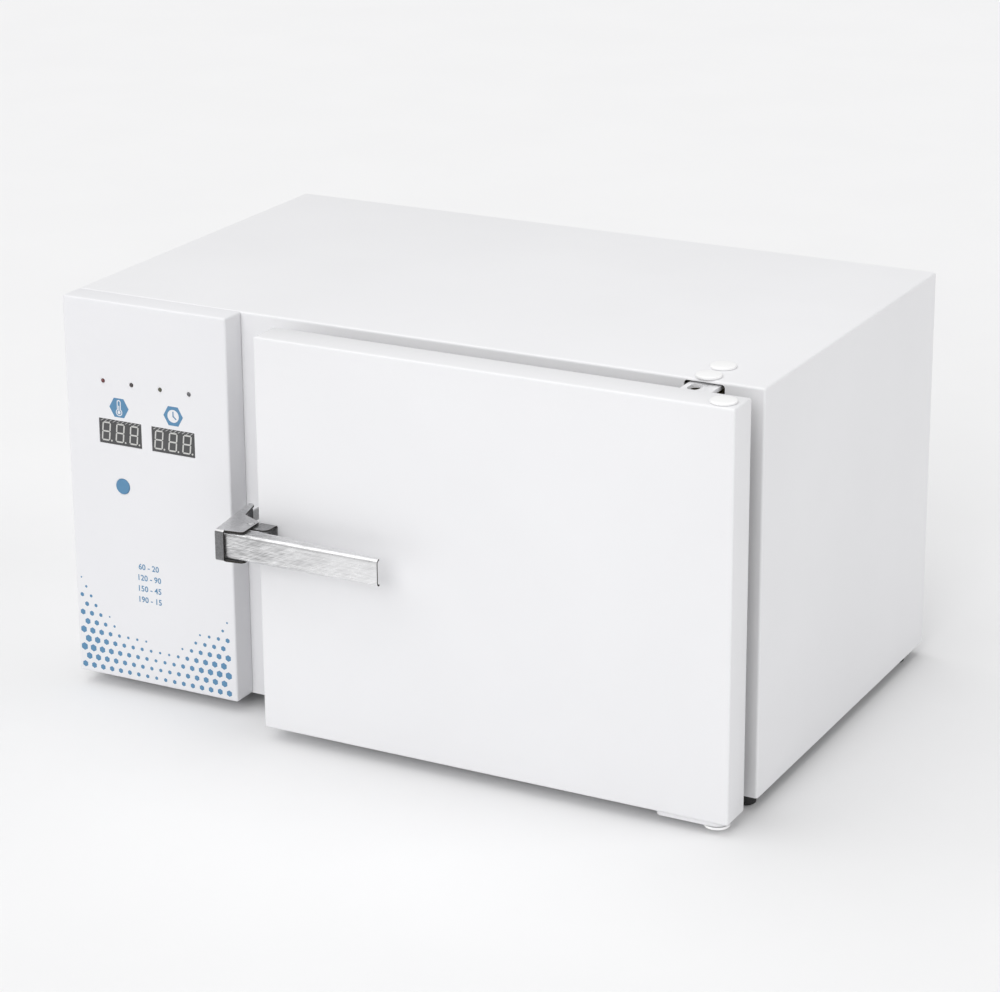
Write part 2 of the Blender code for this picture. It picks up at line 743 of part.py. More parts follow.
# Door: outer shell, inner pan, insulation and gasket, all turning on the hinge axis
door_axis = pivot("door_axis", at(hinge_x, hinge_y, 0))
door = box("door_outer", (door_left, door_right), (door_front_y, door_back_y), (0, cabinet_height),
           white_paint, door_axis, bend_radius, bend_steps)
cut(door, box("door_inside", (door_left + sheet, door_right - sheet), (door_front_y + sheet, door_back_y - sheet),
              (sheet, cabinet_height - sheet), None, door_axis))
back_cut_y = (door_back_y - sheet - overrun, door_back_y + overrun)
cut(door, box("door_back_opening", (door_left + door_flange, door_right - door_flange), back_cut_y,
              (door_flange, cabinet_height - door_flange), None, door_axis))
cut(door, box("door_arm_notch", (arm_x - arm_width / 2 - notch_side, door_right - sheet), back_cut_y,
              (cabinet_height - slot_depth, cabinet_height - sheet), None, door_axis))
for end, z in (("upper", cabinet_height), ("lower", 0)):
    cut(door, bore("door_pin_hole_" + end, hinge_x, hinge_y, z, pin_radius + fit_gap, overrun,
                   (0, 0, 0), door_axis))

gasket_outer = gasket_from_opening + gasket_width
pan_outer = gasket_outer + pan_border
brim_y = (door_back_y + fit_gap, door_back_y + fit_gap + pan_sheet)
pan_front = -(fit_gap * 2 + gasket_thickness)
pan_x = (chamber_left - pan_outer, chamber_right + pan_outer)
pan_z = (chamber_bottom - pan_outer, chamber_top + pan_outer)
pan = box("door_inner_pan", pan_x, (brim_y[0] - overrun, pan_front), pan_z, steel, door_axis, pan_radius)
cut(pan, box("pan_trim", (door_left, door_right), (door_front_y, brim_y[0]), (0, cabinet_height), None, door_axis))
join(pan, box("pan_brim", (door_left + brim_inset, door_right - brim_inset), brim_y,
              (brim_inset, cabinet_height - brim_top_drop), None, door_axis))
pan_inner_x = (pan_x[0] + pan_sheet, pan_x[1] - pan_sheet)
pan_inner_z = (pan_z[0] + pan_sheet, pan_z[1] - pan_sheet)
cut(pan, box("pan_inside", pan_inner_x, (door_back_y - overrun, pan_front - pan_sheet), pan_inner_z,
             None, door_axis, pan_radius - pan_sheet))

fill_edge = sheet + pad_gap
fill = box("door_insulation", (door_left + fill_edge, door_right - fill_edge),
           (door_front_y + fill_edge, door_back_y - fill_edge),
           (door_fill_bottom, cabinet_height - door_flange), wool, door_axis)
join(fill, box("fill_in_pan", (pan_inner_x[0] + pan_radius, pan_inner_x[1] - pan_radius),
               (door_back_y - door_thickness / 2, pan_front - pan_sheet - pad_gap),
               (pan_inner_z[0] + pan_radius, pan_inner_z[1] - pan_radius), None, door_axis))

gasket = box("door_gasket", (chamber_left - gasket_outer, chamber_right + gasket_outer),
             (pan_front + fit_gap, -fit_gap), (chamber_bottom - gasket_outer, chamber_top + gasket_outer),
             silicone, door_axis)
cut(gasket, box("gasket_inside", (chamber_left - gasket_from_opening, chamber_right + gasket_from_opening),
                (pan_front - overrun, overrun),
                (chamber_bottom - gasket_from_opening, chamber_top + gasket_from_opening), None, door_axis))

# Hinge arms, bent in plan like a goose's neck, with the pins that turn in them
arm_left = arm_x - arm_width / 2
arm_right = arm_x + arm_width / 2
arm_front = hinge_y - arm_end_radius
arm_inner = hinge_y + arm_end_radius
arm_tip = hinge_x + arm_end_radius
arm_outline = rounded([(arm_left, arm_front, arm_corner), (arm_tip, arm_front, arm_end_radius - fit_gap),
                       (arm_tip, arm_inner, arm_end_radius - fit_gap), (arm_right, arm_inner, arm_inner_corner),
                       (arm_right, arm_rear, arm_corner), (arm_left, arm_rear, arm_corner)], 7)
arm_holes = [ring(hinge_x, hinge_y, pin_radius + pin_play),
             ring(arm_x, cap_front_y, cap_shank_radius + cap_shank_play),
             ring(arm_x, cap_rear_y, cap_shank_radius + cap_shank_play),
             oblong(arm_x - arm_slot_aside, arm_slot_y, arm_slot_width, arm_slot_length)]
upper_arm_top = cabinet_height - arm_drop
lower_arm_low = -lower_arm_drop - arm_thickness
plate("upper_hinge_arm", [arm_outline, *arm_holes], (upper_arm_top - arm_thickness, upper_arm_top), white_paint)
plate("lower_hinge_arm", [arm_outline, *arm_holes], (lower_arm_low, -lower_arm_drop), white_paint)


def capped_pin(name, spot, shank_radius, shank, parent=None, tilt=(0, 0, 0)):
    profile = dome_profile(cap_radius, cap_edge, 0, cap_height)
    profile += [(shank_radius, 0), (shank_radius, -shank), (0, -shank)]
    return turned(name, profile, spot, white_paint, parent, tilt)


upside_down = (math.pi, 0, 0)
cap_z = cabinet_height + fit_gap
arm_low = upper_arm_top - arm_thickness
capped_pin("upper_hinge_pin", at(hinge_x, hinge_y, cap_z), pin_radius, cap_z - arm_low + pin_reach, door_axis)
capped_pin("lower_hinge_pin", at(hinge_x, hinge_y, lower_arm_low - fit_gap), pin_radius,
           pin_reach - lower_arm_low + fit_gap, door_axis, upside_down)
for end, y in (("front", cap_front_y), ("rear", cap_rear_y)):
    capped_pin("hinge_cap_" + end, at(arm_x, y, cap_z), cap_shank_radius, cap_z - arm_low)
    screw = dome_profile(screw_head_radius, cap_edge, 0, screw_head_height)
    screw_shank = screw_reach - lower_arm_low + fit_gap
    screw += [(cap_shank_radius, 0), (cap_shank_radius, -screw_shank), (0, -screw_shank)]
    turned("lower_arm_screw_" + end, screw, at(arm_x, y, lower_arm_low - fit_gap), steel, None,
           upside_down, small_sides)

# Latch: bracket and pin on the door, then the hook, lever and roller that turn on the pin
ear_inner = lever_half + latch_play
ear_outer = ear_inner + bracket_sheet
hook_inner = ear_outer + latch_play
hook_outer = hook_inner + hook_sheet
bracket_y = (door_front_y - fit_gap - bracket_sheet, door_front_y - fit_gap)
bracket = box("latch_bracket", (door_left + bracket_left, door_left + bracket_right), bracket_y,
              (latch_z - ear_outer + bracket_sheet / 2, latch_z + ear_outer - bracket_sheet / 2), steel, door_axis)
ear_left = pivot_x - bracket_ear_left
ear_front = pivot_y - bracket_ear_front
ear_back = door_front_y - fit_gap - bracket_sheet / 2
ear_outline = rounded([(ear_left, ear_front, bracket_corner),
                       (door_left + bracket_right - bracket_sheet / 2, ear_front, bracket_nose),
                       (door_left + bracket_right - bracket_sheet / 2, ear_back, fit_gap),
                       (ear_left, ear_back, fit_gap)])
pin_hole = ring(pivot_x, pivot_y, latch_pin_radius + latch_pin_play)
for end, way in (("top", 1), ("bottom", -1)):
    ear_z = sorted((latch_z + way * ear_inner, latch_z + way * ear_outer))
    join(bracket, plate("bracket_ear_" + end, [ear_outline, pin_hole], ear_z, None, door_axis))

pin_profile = dome_profile(latch_pin_radius, latch_pin_dome / 2, hook_outer, hook_outer + latch_pin_dome)
pin_profile += [(latch_pin_radius, hook_outer), (latch_pin_radius, -hook_outer), (0, -hook_outer)]
turned("latch_pin", pin_profile, at(pivot_x, pivot_y, latch_z), steel, door_axis, (0, 0, 0), small_sides)

latch_axis = pivot("latch_axis", at(pivot_x, pivot_y, latch_z), door_axis)
hook_outline = rounded([(hook_left, hook_front, hook_web_inset),
                        (pivot_x + hook_right_reach, hook_front + hook_front_slant, hook_corner),
                        (pivot_x + hook_tip_right, pivot_y + hook_tip_reach, hook_corner / 2),
                        (pivot_x - hook_step_left, pivot_y + hook_step_back, hook_corner / 2),
                        (pivot_x - finger_right_left, pivot_y + finger_right_back, hook_corner / 2),
                        (finger_left, pivot_y + finger_back_reach, hook_corner / 2)])
hook_plates = []
for end, way in (("top", 1), ("bottom", -1)):
    hook_z = sorted((latch_z + way * hook_inner, latch_z + way * (hook_inner + hook_sheet)))
    look = steel if way > 0 else None
    name = "latch_hook" if way > 0 else "hook_plate_bottom"
    hook_plates.append(plate(name, [hook_outline, pin_hole], hook_z, look, latch_axis))
hook_middle = hook_inner + hook_sheet / 2
hook_web = box("hook_web", (hook_left + hook_web_inset, hook_left + hook_web_width),
               (hook_front + hook_web_inset, hook_front + hook_web_inset + hook_sheet),
               (latch_z - hook_middle, latch_z + hook_middle), None, latch_axis)
join(hook_plates[0], hook_web, hook_plates[1])

lever_back = lever_front + lever_flange
ear_end_y = pivot_y + lever_ear_back
lever_outline = rounded([(lever_left, lever_front, fit_gap), (lever_right, lever_front, fit_gap),
                         (lever_right, lever_front + lever_end_flange, lever_corner / 2),
                         (pivot_x + lever_ear_right + lever_flange, lever_back, lever_corner),
                         (pivot_x + lever_ear_right, ear_end_y, lever_corner),
                         (pivot_x - lever_ear_left - lever_corner, ear_end_y, lever_corner),
                         (lever_left, pivot_y - lever_ear_back, lever_corner)])
lever_plates = []
for end, way in (("top", 1), ("bottom", -1)):
    lever_z = sorted((latch_z + way * (lever_half - lever_sheet), latch_z + way * lever_half))
    look = steel if way > 0 else None
    name = "latch_lever" if way > 0 else "lever_flange_bottom"
    lever_plates.append(plate(name, [lever_outline, pin_hole], lever_z, look, latch_axis))
lever_middle = lever_half - lever_sheet / 2
lever_face = box("lever_face", (lever_left + hook_web_inset, lever_right - hook_web_inset),
                 (lever_front + hook_web_inset, lever_front + hook_web_inset + lever_sheet),
                 (latch_z - lever_middle, latch_z + lever_middle), None, latch_axis)
join(lever_plates[0], lever_face, lever_plates[1])

roller_half = hook_inner - fit_gap
turned("latch_roller", rod_profile(roller_radius, -roller_half, roller_half),
       at(pivot_x - roller_left, pivot_y + roller_back, latch_z), dark_steel, latch_axis, (0, 0, 0), small_sides)

# Keeper screwed to the fascia, beside the hook's end
strike_right = pivot_x - roller_left - roller_radius - strike_side_play
strike_left = strike_right - strike_sheet
strike_half_height = hook_inner - strike_play
strike = box("latch_strike", (strike_left, strike_left + strike_base), (-fit_gap - strike_sheet, -fit_gap),
             (latch_z - strike_half_height, latch_z + strike_half_height), steel)
join(strike, box("strike_leg", (strike_left, strike_right), (-strike_reach, -fit_gap - strike_sheet / 2),
                 (latch_z - strike_leg_half, latch_z + strike_leg_half)))

# Feet
foot_profile = [(0, 0), (foot_radius, 0), (foot_radius - foot_taper, -foot_height + fit_gap + foot_edge),
                (foot_radius - foot_taper - foot_edge, -foot_height + fit_gap), (0, -foot_height + fit_gap)]
for side, x in (("left", foot_from_left), ("right", cabinet_width - foot_from_right)):
    for end, y in (("front", foot_from_front), ("rear", cabinet_depth - foot_from_rear)):
        turned(f"foot_{end}_{side}", foot_profile, at(x, y, -fit_gap), black_rubber, None, (0, 0, 0), small_sides)

bpy.context.view_layer.update()
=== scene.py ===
import json
import math

import bmesh
import bpy
from mathutils import Matrix, Vector


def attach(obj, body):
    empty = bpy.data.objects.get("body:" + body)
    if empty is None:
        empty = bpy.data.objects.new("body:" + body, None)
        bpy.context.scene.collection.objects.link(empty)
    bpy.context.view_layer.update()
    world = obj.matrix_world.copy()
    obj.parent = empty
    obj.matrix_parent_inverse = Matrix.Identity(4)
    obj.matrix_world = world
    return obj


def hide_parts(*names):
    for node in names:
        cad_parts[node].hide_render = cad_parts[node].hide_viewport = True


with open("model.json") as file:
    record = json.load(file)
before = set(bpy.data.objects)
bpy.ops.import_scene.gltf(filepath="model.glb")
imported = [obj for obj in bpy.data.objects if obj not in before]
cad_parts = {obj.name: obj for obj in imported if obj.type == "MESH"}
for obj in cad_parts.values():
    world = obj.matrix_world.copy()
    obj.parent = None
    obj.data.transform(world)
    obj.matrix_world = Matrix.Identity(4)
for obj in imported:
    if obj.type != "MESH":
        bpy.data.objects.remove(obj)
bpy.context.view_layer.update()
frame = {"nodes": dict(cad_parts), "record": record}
print("packed frame loaded")

cabinetCorner = Vector((-0.286, -0.1265, 0.010))  # left, front, bottom corner of the cabinet


def spot(x, y, z):  # millimetres from the cabinet's corner to a place in the scene
    return cabinetCorner + Vector((x, y, z)) / 1000


# tools for modelling

def dropSelection():
    if bpy.context.object and bpy.context.object.mode != "OBJECT":
        bpy.ops.object.mode_set(mode="OBJECT")
    bpy.ops.object.select_all(action="DESELECT")


def makeActive(piece):
    dropSelection()
    piece.select_set(True)
    bpy.context.view_layer.objects.active = piece


def named(name):
    piece = bpy.context.object
    piece.name = name
    piece.data.name = name
    return piece


def linked(name, data):  # a new object in the scene
    piece = bpy.data.objects.new(name, data)
    bpy.context.scene.collection.objects.link(piece)
    return piece


def settle(piece):  # the place goes into the mesh and the object to the origin
    makeActive(piece)
    bpy.ops.object.transform_apply(location=True, rotation=True, scale=True)
    return piece


def block(name, low, high):
    dropSelection()
    low, high = spot(*low), spot(*high)
    bpy.ops.mesh.primitive_cube_add(size=1, location=(low + high) / 2)
    piece = named(name)
    piece.scale = high - low
    return settle(piece)


def rod(name, centre, radius, depth, axis="Z", sides=48):
    dropSelection()
    turn = {"Z": (0, 0, 0), "Y": (math.pi / 2, 0, 0), "X": (0, math.pi / 2, 0)}[axis]
    bpy.ops.mesh.primitive_cylinder_add(vertices=sides, radius=radius / 1000, depth=depth / 1000,
                                        location=spot(*centre), rotation=turn)
    return settle(named(name))


def enterEdit(piece, action):
    makeActive(piece)
    bpy.ops.object.mode_set(mode="EDIT")
    bpy.ops.mesh.select_all(action=action)


def leaveEdit():
    bpy.ops.object.mode_set(mode="OBJECT")


def pick(piece, kind, test):  # edit mode with the faces or edges that pass the test selected
    enterEdit(piece, "DESELECT")
    bpy.ops.mesh.select_mode(type=kind)
    form = bmesh.from_edit_mesh(piece.data)
    for part in form.faces if kind == "FACE" else form.edges:
        part.select_set(test(part))
    form.select_flush_mode()
    bmesh.update_edit_mesh(piece.data)


def bendEdges(piece, radius, steps=4, test=None):  # rounds the edges where two faces meet
    pick(piece, "EDGE", lambda edge: len(edge.link_faces) == 2 and edge.calc_face_angle(0) > 0.5
         and (test is None or test(edge)))
    bpy.ops.mesh.bevel(offset=radius / 1000, segments=steps, profile=0.5, affect="EDGES")
    leaveEdit()


def openSides(piece, *sides):  # removes the faces that look along the given axes
    pick(piece, "FACE", lambda face: any(face.normal.dot(Vector(side)) > 0.9 for side in sides))
    bpy.ops.mesh.delete(type="FACE")
    leaveEdit()


def sew(piece, gap):  # merges doubles and turns the faces outwards
    enterEdit(piece, "SELECT")
    bpy.ops.mesh.remove_doubles(threshold=gap)
    bpy.ops.mesh.normals_make_consistent(inside=False)
    leaveEdit()
    return piece


def modify(piece, kind, **values):  # one modifier, set and applied
    makeActive(piece)
    step = piece.modifiers.new("step", kind)
    for key, value in values.items():
        setattr(step, key, value)
    bpy.ops.object.modifier_apply(modifier=step.name)
    return piece


def wall(piece, thickness):  # gives a sheet its thickness, inwards
    return modify(piece, "SOLIDIFY", thickness=thickness / 1000, offset=-1, use_even_offset=True)


def soften(piece, width, steps=2, angle=40):
    return modify(piece, "BEVEL", width=width / 1000, segments=steps, limit_method="ANGLE",
                  angle_limit=math.radians(angle), harden_normals=False)


def combine(piece, operation, others):
    for other in others:
        modify(piece, "BOOLEAN", operation=operation, object=other, solver="EXACT")
        bpy.data.objects.remove(other, do_unlink=True)
    return piece


def cutAway(piece, *tools):
    return combine(piece, "DIFFERENCE", tools)


def fuse(piece, *others):
    return combine(piece, "UNION", others)


def gather(name, pieces):  # several loose pieces become one
    dropSelection()
    for piece in pieces:
        piece.select_set(True)
    bpy.context.view_layer.objects.active = pieces[0]
    if len(pieces) > 1:
        bpy.ops.object.join()
    return named(name)


def flatOutline(name, corners, low, high, holes=()):  # a plate cut from an outline in x and y
    curve = bpy.data.curves.new(name, "CURVE")
    curve.dimensions = "2D"
    curve.fill_mode = "BOTH"
    curve.extrude = (high - low) / 2000
    for outline in [corners, *holes]:
        line = curve.splines.new("POLY")
        line.points.add(len(outline) - 1)
        for point, (x, y) in zip(line.points, outline):
            point.co = (x / 1000, y / 1000, 0, 1)
        line.use_cyclic_u = True
    piece = linked(name, curve)
    piece.location = spot(0, 0, (low + high) / 2)
    makeActive(piece)
    bpy.ops.object.convert(target="MESH")
    return sew(settle(named(name)), 0.00001)


def arcPoints(x, y, radius, start, end, count):
    angles = [math.radians(start + (end - start) * i / (count - 1)) for i in range(count)]
    return [(x + radius * math.cos(a), y + radius * math.sin(a)) for a in angles]


def roundCorners(corners, count=6):  # each corner is x, y and the radius that rounds it
    outline = []
    for i, (x, y, radius) in enumerate(corners):
        here = Vector((x, y))
        back = (Vector(corners[i - 1][:2]) - here).normalized()
        ahead = (Vector(corners[(i + 1) % len(corners)][:2]) - here).normalized()
        half = back.angle(ahead) / 2
        reach = radius / math.tan(half)
        centre = here + (back + ahead).normalized() * radius / math.sin(half)
        first, last = here + back * reach - centre, here + ahead * reach - centre
        way = 1 if first.cross(last) > 0 else -1
        start = math.degrees(math.atan2(first.y, first.x))
        outline += arcPoints(*centre, radius, start, start + way * (180 - math.degrees(half * 2)), count)
    return outline


def shade(piece, angle=35):
    makeActive(piece)
def roundBox(left, right, low, high, radius):
    return roundCorners([(left, low, radius), (right, low, radius), (right, high, radius), (left, high, radius)])


def slotOutline(x, y, reach, half, count):  # a slot along y with round ends
    return arcPoints(x, y + reach, half, 0, 180, count) + arcPoints(x, y - reach, half, 180, 360, count)


def ringPoints(x, y, radius, count=24, start=0.0):
    return [(x + radius * math.cos(start + math.tau * i / count), y + radius * math.sin(start + math.tau * i / count))
            for i in range(count)]


def standing(name, outline, front, back, holes=()):  # a plate in x and z that reaches from front to back
    plate = flatOutline(name, outline, 0, back - front, holes)
    corner = Matrix.Translation(spot(0, 0, 0))
    plate.data.transform(corner @ Matrix.Rotation(math.pi / 2, 4, "X") @ corner.inverted())
    plate.data.transform(Matrix.Translation((0, back / 1000, 0)))
    return plate


def standingPlates(name, outlines, front, back):
    return gather(name, [standing(name, outline, front, back) for outline in outlines])


def spun(name, profile, centre, axis="Z", steps=48):  # profile: distance from the axis and place along it
    x, y, z = centre
    points = [spot(x + radius, y, z + place) if axis == "Z" else spot(x + radius, y + place, z)
              for radius, place in profile]
    mesh = bpy.data.meshes.new(name)
    mesh.from_pydata(points, [(i, i + 1) for i in range(len(points) - 1)], [])
    piece = linked(name, mesh)
    enterEdit(piece, "SELECT")
    bpy.ops.mesh.spin(steps=steps, angle=math.tau, center=spot(*centre), axis=(0, 0, 1) if axis == "Z" else (0, 1, 0))
    return sew(piece, 0.000004)


def finishPiece(piece, body, slotName, material, *nodes, angle=35):
    settle(piece)
    bpy.ops.object.shade_smooth_by_angle(angle=math.radians(angle))
    piece.data.materials.clear()
    piece.data.materials.append(material)
    for face in piece.data.polygons:
        face.material_index = 0
    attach(piece, body)
    if nodes:
        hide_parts(*nodes)
    return piece


# shared surface effects

def startGroup(name, given):  # a number, three numbers or a colour with alpha for each input
    group = bpy.data.node_groups.new(name, "ShaderNodeTree")
    kinds = {1: "NodeSocketFloat", 3: "NodeSocketVector", 4: "NodeSocketColor"}
    for label, value in given.items():
        kind = kinds[len(value) if isinstance(value, tuple) else 1]
        group.interface.new_socket(name=label, in_out="INPUT", socket_type=kind).default_value = value
    for label, count in (("Colour", 4), ("Roughness", 1), ("Normal", 3)):
        group.interface.new_socket(name=label, in_out="OUTPUT", socket_type=kinds[count])
    where = group.nodes.new("ShaderNodeTexCoord").outputs["Object"]
    return group, group.nodes.new("NodeGroupInput").outputs, where


def addNode(group, kind, entries, output=0, **settings):  # entries: plain values or other nodes' outputs
    made = group.nodes.new("ShaderNode" + kind)
    for key, value in settings.items():
        setattr(made, key, value)
    for label, value in entries.items():
        if isinstance(value, bpy.types.NodeSocket):
            group.links.new(value, made.inputs[label])
        else:
            made.inputs[label].default_value = value
    return made.outputs[output]


def mathNode(group, operation, first, second):
    return addNode(group, "Math", {0: first, 1: second}, operation=operation)


def mixColours(group, share, first, second):
    return addNode(group, "Mix", {0: share, 6: first, 7: second}, 2, data_type="RGBA")


def spread(group, value, low, high):  # a noise value stretched to run from low to high
    return addNode(group, "MapRange", {0: value, 1: 0.35, 2: 0.65, 3: low, 4: high}, clamp=True)


def noise(group, vector, scale, detail=3.0, roughness=0.5):
    return addNode(group, "TexNoise", {"Scale": scale, "Detail": detail, "Roughness": roughness, "Vector": vector})


def endGroup(group, colour, rough, height, strength, distance):
    bump = addNode(group, "Bump", {"Distance": distance, "Strength": strength, "Height": height})
    end = group.nodes.new("NodeGroupOutput")
    for label, value in (("Colour", colour), ("Roughness", rough), ("Normal", bump)):
        group.links.new(value, end.inputs[label])
    return group


def buildGrainGroup():  # the fine skin of paint, plastic and rubber, with a slow change of tone
    group, given, where = startGroup("grainSkin", {
        "Colour": (0.8, 0.8, 0.8, 1), "Shade": (0.7, 0.7, 0.7, 1), "Grain Size": 900.0, "Grain Depth": 0.2,
        "Tone Size": 6.0, "Rough Low": 0.3, "Rough High": 0.45})
    grain = noise(group, where, given["Grain Size"], 2.0)
    patch = spread(group, noise(group, where, given["Tone Size"], 4.0), 0.0, 1.0)
    return endGroup(group, mixColours(group, patch, given["Colour"], given["Shade"]),
                    spread(group, grain, given["Rough Low"], given["Rough High"]), grain, given["Grain Depth"], 0.0002)


def buildBrushGroup():  # drawn-out scratches along one axis and a crossing set, with painted shade: the share of scratch shade falls off along x, so one end is darker
    group, given, where = startGroup("brushMarksAndShade", {
        "Stretch": (40.0, 2500.0, 2500.0), "Colour": (0.6, 0.6, 0.6, 1), "Shade": (0.4, 0.4, 0.4, 1), "Depth": 0.15,
        "Cross": 0.0, "Fade": 0.0, "Fade From": 0.0, "Fade To": 1.0, "Rough Low": 0.2, "Rough High": 0.4})
    slanted = addNode(group, "VectorRotate", {"Angle": 0.45, "Vector": where}, rotation_type="Y_AXIS")
    sets = []
    for vector in (where, slanted):
        drawn = addNode(group, "VectorMath", {0: vector, 1: given["Stretch"]}, operation="MULTIPLY")
        sets.append(noise(group, drawn, 1.0, 3.0, 0.6))
    straight, crossing = sets
    change = mathNode(group, "MULTIPLY", mathNode(group, "SUBTRACT", crossing, straight), given["Cross"])
    marks = mathNode(group, "ADD", straight, change)
    lines = mathNode(group, "MULTIPLY", spread(group, marks, 0.0, 1.0), 0.7)
    slow = mathNode(group, "MULTIPLY", spread(group, noise(group, where, 30.0, 3.0), 0.0, 1.0), 0.3)
    # painted shade: from Fade From to Fade To along object x the shade share drops by Fade, so the near end stays
    # darker and the far end lighter
    fromLeft = addNode(group, "SeparateXYZ", {0: where})
    paintedShadeRamp = addNode(group, "MapRange", {"Value": fromLeft, "From Min": given["Fade From"], "From Max": given["Fade To"]})
    kept = mathNode(group, "SUBTRACT", 1.0, mathNode(group, "MULTIPLY", paintedShadeRamp, given["Fade"]))
    share = mathNode(group, "MULTIPLY", mathNode(group, "ADD", lines, slow), kept)
    return endGroup(group, mixColours(group, share, given["Colour"], given["Shade"]),
                    spread(group, marks, given["Rough Low"], given["Rough High"]), marks, given["Depth"], 0.0001)


grainSkin = buildGrainGroup()
brushMarksAndShade = buildBrushGroup()


def surface(name, group, values, **shader):  # one material: a shared effect with its own values
    material = bpy.data.materials.new(name)
    material.use_nodes = True
    nodes, links = material.node_tree.nodes, material.node_tree.links
    base = nodes["Principled BSDF"]
    effect = nodes.new("ShaderNodeGroup")
    effect.node_tree = group
    for label, value in values.items():
        effect.inputs[label].default_value = value
    for label, target in (("Colour", "Base Color"), ("Roughness", "Roughness"), ("Normal", "Normal")):
        links.new(effect.outputs[label], base.inputs[target])
    for label, value in shader.items():
        base.inputs[label.replace("_", " ")].default_value = value
    return material


def painted(name, colour, shade, size=1400.0, depth=0.12, rough=(0.32, 0.42), **shader):
    return surface(name, grainSkin, {"Colour": (*colour, 1), "Shade": (*shade, 1), "Grain Size": size,
                                     "Grain Depth": depth, "Rough Low": rough[0], "Rough High": rough[1]}, **shader)


# the fade values are painted shade along x: its amount, and where it starts and ends
def brushed(name, colour, shade, stretch, depth=0.2, rough=(0.2, 0.38), cross=0.0, paintedShadeFade=(0.0, 0.0, 1.0)):
    return surface(name, brushMarksAndShade, {
        "Colour": (*colour, 1), "Shade": (*shade, 1), "Stretch": stretch, "Depth": depth, "Cross": cross,
        "Fade": paintedShadeFade[0], "Fade From": paintedShadeFade[1], "Fade To": paintedShadeFade[2], "Rough Low": rough[0], "Rough High": rough[1]},
        Metallic=1.0)


along = {"x": (45.0, 3000.0, 3000.0), "y": (3000.0, 45.0, 3000.0), "z": (3000.0, 3000.0, 45.0),
         "even": (900.0, 900.0, 900.0)}
whitePaint = painted("whitePaint", (0.86, 0.86, 0.875), (0.84, 0.84, 0.855))
capPaint = painted("capPaint", (0.97, 0.97, 0.97), (0.955, 0.955, 0.955), 900.0, 0.08, (0.28, 0.36))
panelPaint = painted("panelPaint", (0.83, 0.83, 0.85), (0.815, 0.815, 0.835), 1800.0, 0.06, (0.38, 0.46))
sidePaint = painted("sidePaint", (0.8, 0.8, 0.83), (0.78, 0.78, 0.81), 1600.0, 0.1, (0.36, 0.44))
blackRubber = painted("blackRubber", (0.018, 0.018, 0.018), (0.03, 0.03, 0.03), 700.0, 0.4, (0.6, 0.85))
siliconeGum = painted("siliconeGum", (0.55, 0.54, 0.5), (0.48, 0.47, 0.43), 500.0, 0.2, (0.45, 0.65))
woolFelt = painted("woolFelt", (0.52, 0.47, 0.34), (0.42, 0.38, 0.27), 400.0, 1.0, (0.85, 1.0))
boardGreen = painted("boardGreen", (0.02, 0.13, 0.05), (0.03, 0.17, 0.07), 300.0, 0.1, (0.3, 0.5))
blackPlastic = painted("blackPlastic", (0.02, 0.02, 0.022), (0.03, 0.03, 0.032), 1200.0, 0.2, (0.35, 0.5))
buttonBlue = painted("buttonBlue", (0.1, 0.255, 0.43), (0.09, 0.235, 0.405), 1500.0, 0.05, (0.3, 0.38))
printBlue = painted("printBlue", (0.1, 0.255, 0.43), (0.092, 0.24, 0.41), 1500.0, 0.03, (0.4, 0.48))
printWhite = painted("printWhite", (0.82, 0.82, 0.84), (0.8, 0.8, 0.82), 1500.0, 0.03, (0.4, 0.48))
displayGrey = painted("displayGrey", (0.075, 0.075, 0.077), (0.062, 0.062, 0.064), 900.0, 0.05, (0.3, 0.4))
segmentGrey = painted("segmentGrey", (0.62, 0.62, 0.6), (0.56, 0.56, 0.54), 700.0, 0.05, (0.25, 0.35))
steelAcross = brushed("steelAcross", (0.66, 0.66, 0.665), (0.5, 0.5, 0.505), along["x"])
steelDeep = brushed("steelDeep", (0.76, 0.75, 0.74), (0.6, 0.595, 0.59), along["y"], 0.15, (0.3, 0.48))
hookSteel = brushed("hookSteel", (0.74, 0.74, 0.745), (0.54, 0.54, 0.545), (60.0, 900.0, 900.0), 0.1, (0.3, 0.42), 1.0)
# the lever: painted reflection shade, with darker streaks near the pivot end and lighter steel towards the free end
leverSteel = brushed("leverSteel", (0.98, 0.98, 0.985), (0.2, 0.2, 0.205), (90.0, 1100.0, 1100.0), 0.6, (0.22, 0.45),
                     0.45, (0.66, spot(200, 0, 0).x, spot(272, 0, 0).x))
# a darker copy of the hook's steel for the hook's front web: painted shade
webShadedSteel = brushed("webShadedSteel", (0.27, 0.27, 0.275), (0.18, 0.18, 0.185), along["even"], 0.08, (0.3, 0.45))
# the door's inner pan in a darker steel than the chamber's: painted shade for the dark gap beside the door
panShadedSteel = brushed("panShadedSteel", (0.36, 0.355, 0.35), (0.27, 0.265, 0.26), along["z"], 0.12, (0.3, 0.42))
bracketSteel = brushed("bracketSteel", (0.42, 0.42, 0.425), (0.3, 0.3, 0.305), along["even"], 0.08, (0.3, 0.45))
edgeSteel = brushed("edgeSteel", (0.07, 0.065, 0.062), (0.035, 0.032, 0.03), (1200.0, 1200.0, 1200.0), 0.2, (0.4, 0.55))
zincSheet = brushed("zincSheet", (0.5, 0.51, 0.52), (0.38, 0.39, 0.4), (60.0, 60.0, 60.0), 0.05, (0.35, 0.5))
darkSteel = brushed("darkSteel", (0.16, 0.16, 0.165), (0.1, 0.1, 0.105), along["z"], 0.1, (0.3, 0.45))
ribGrey = painted("ribGrey", (0.5, 0.5, 0.5), (0.42, 0.42, 0.42), 700.0, 0.1, (0.4, 0.5))
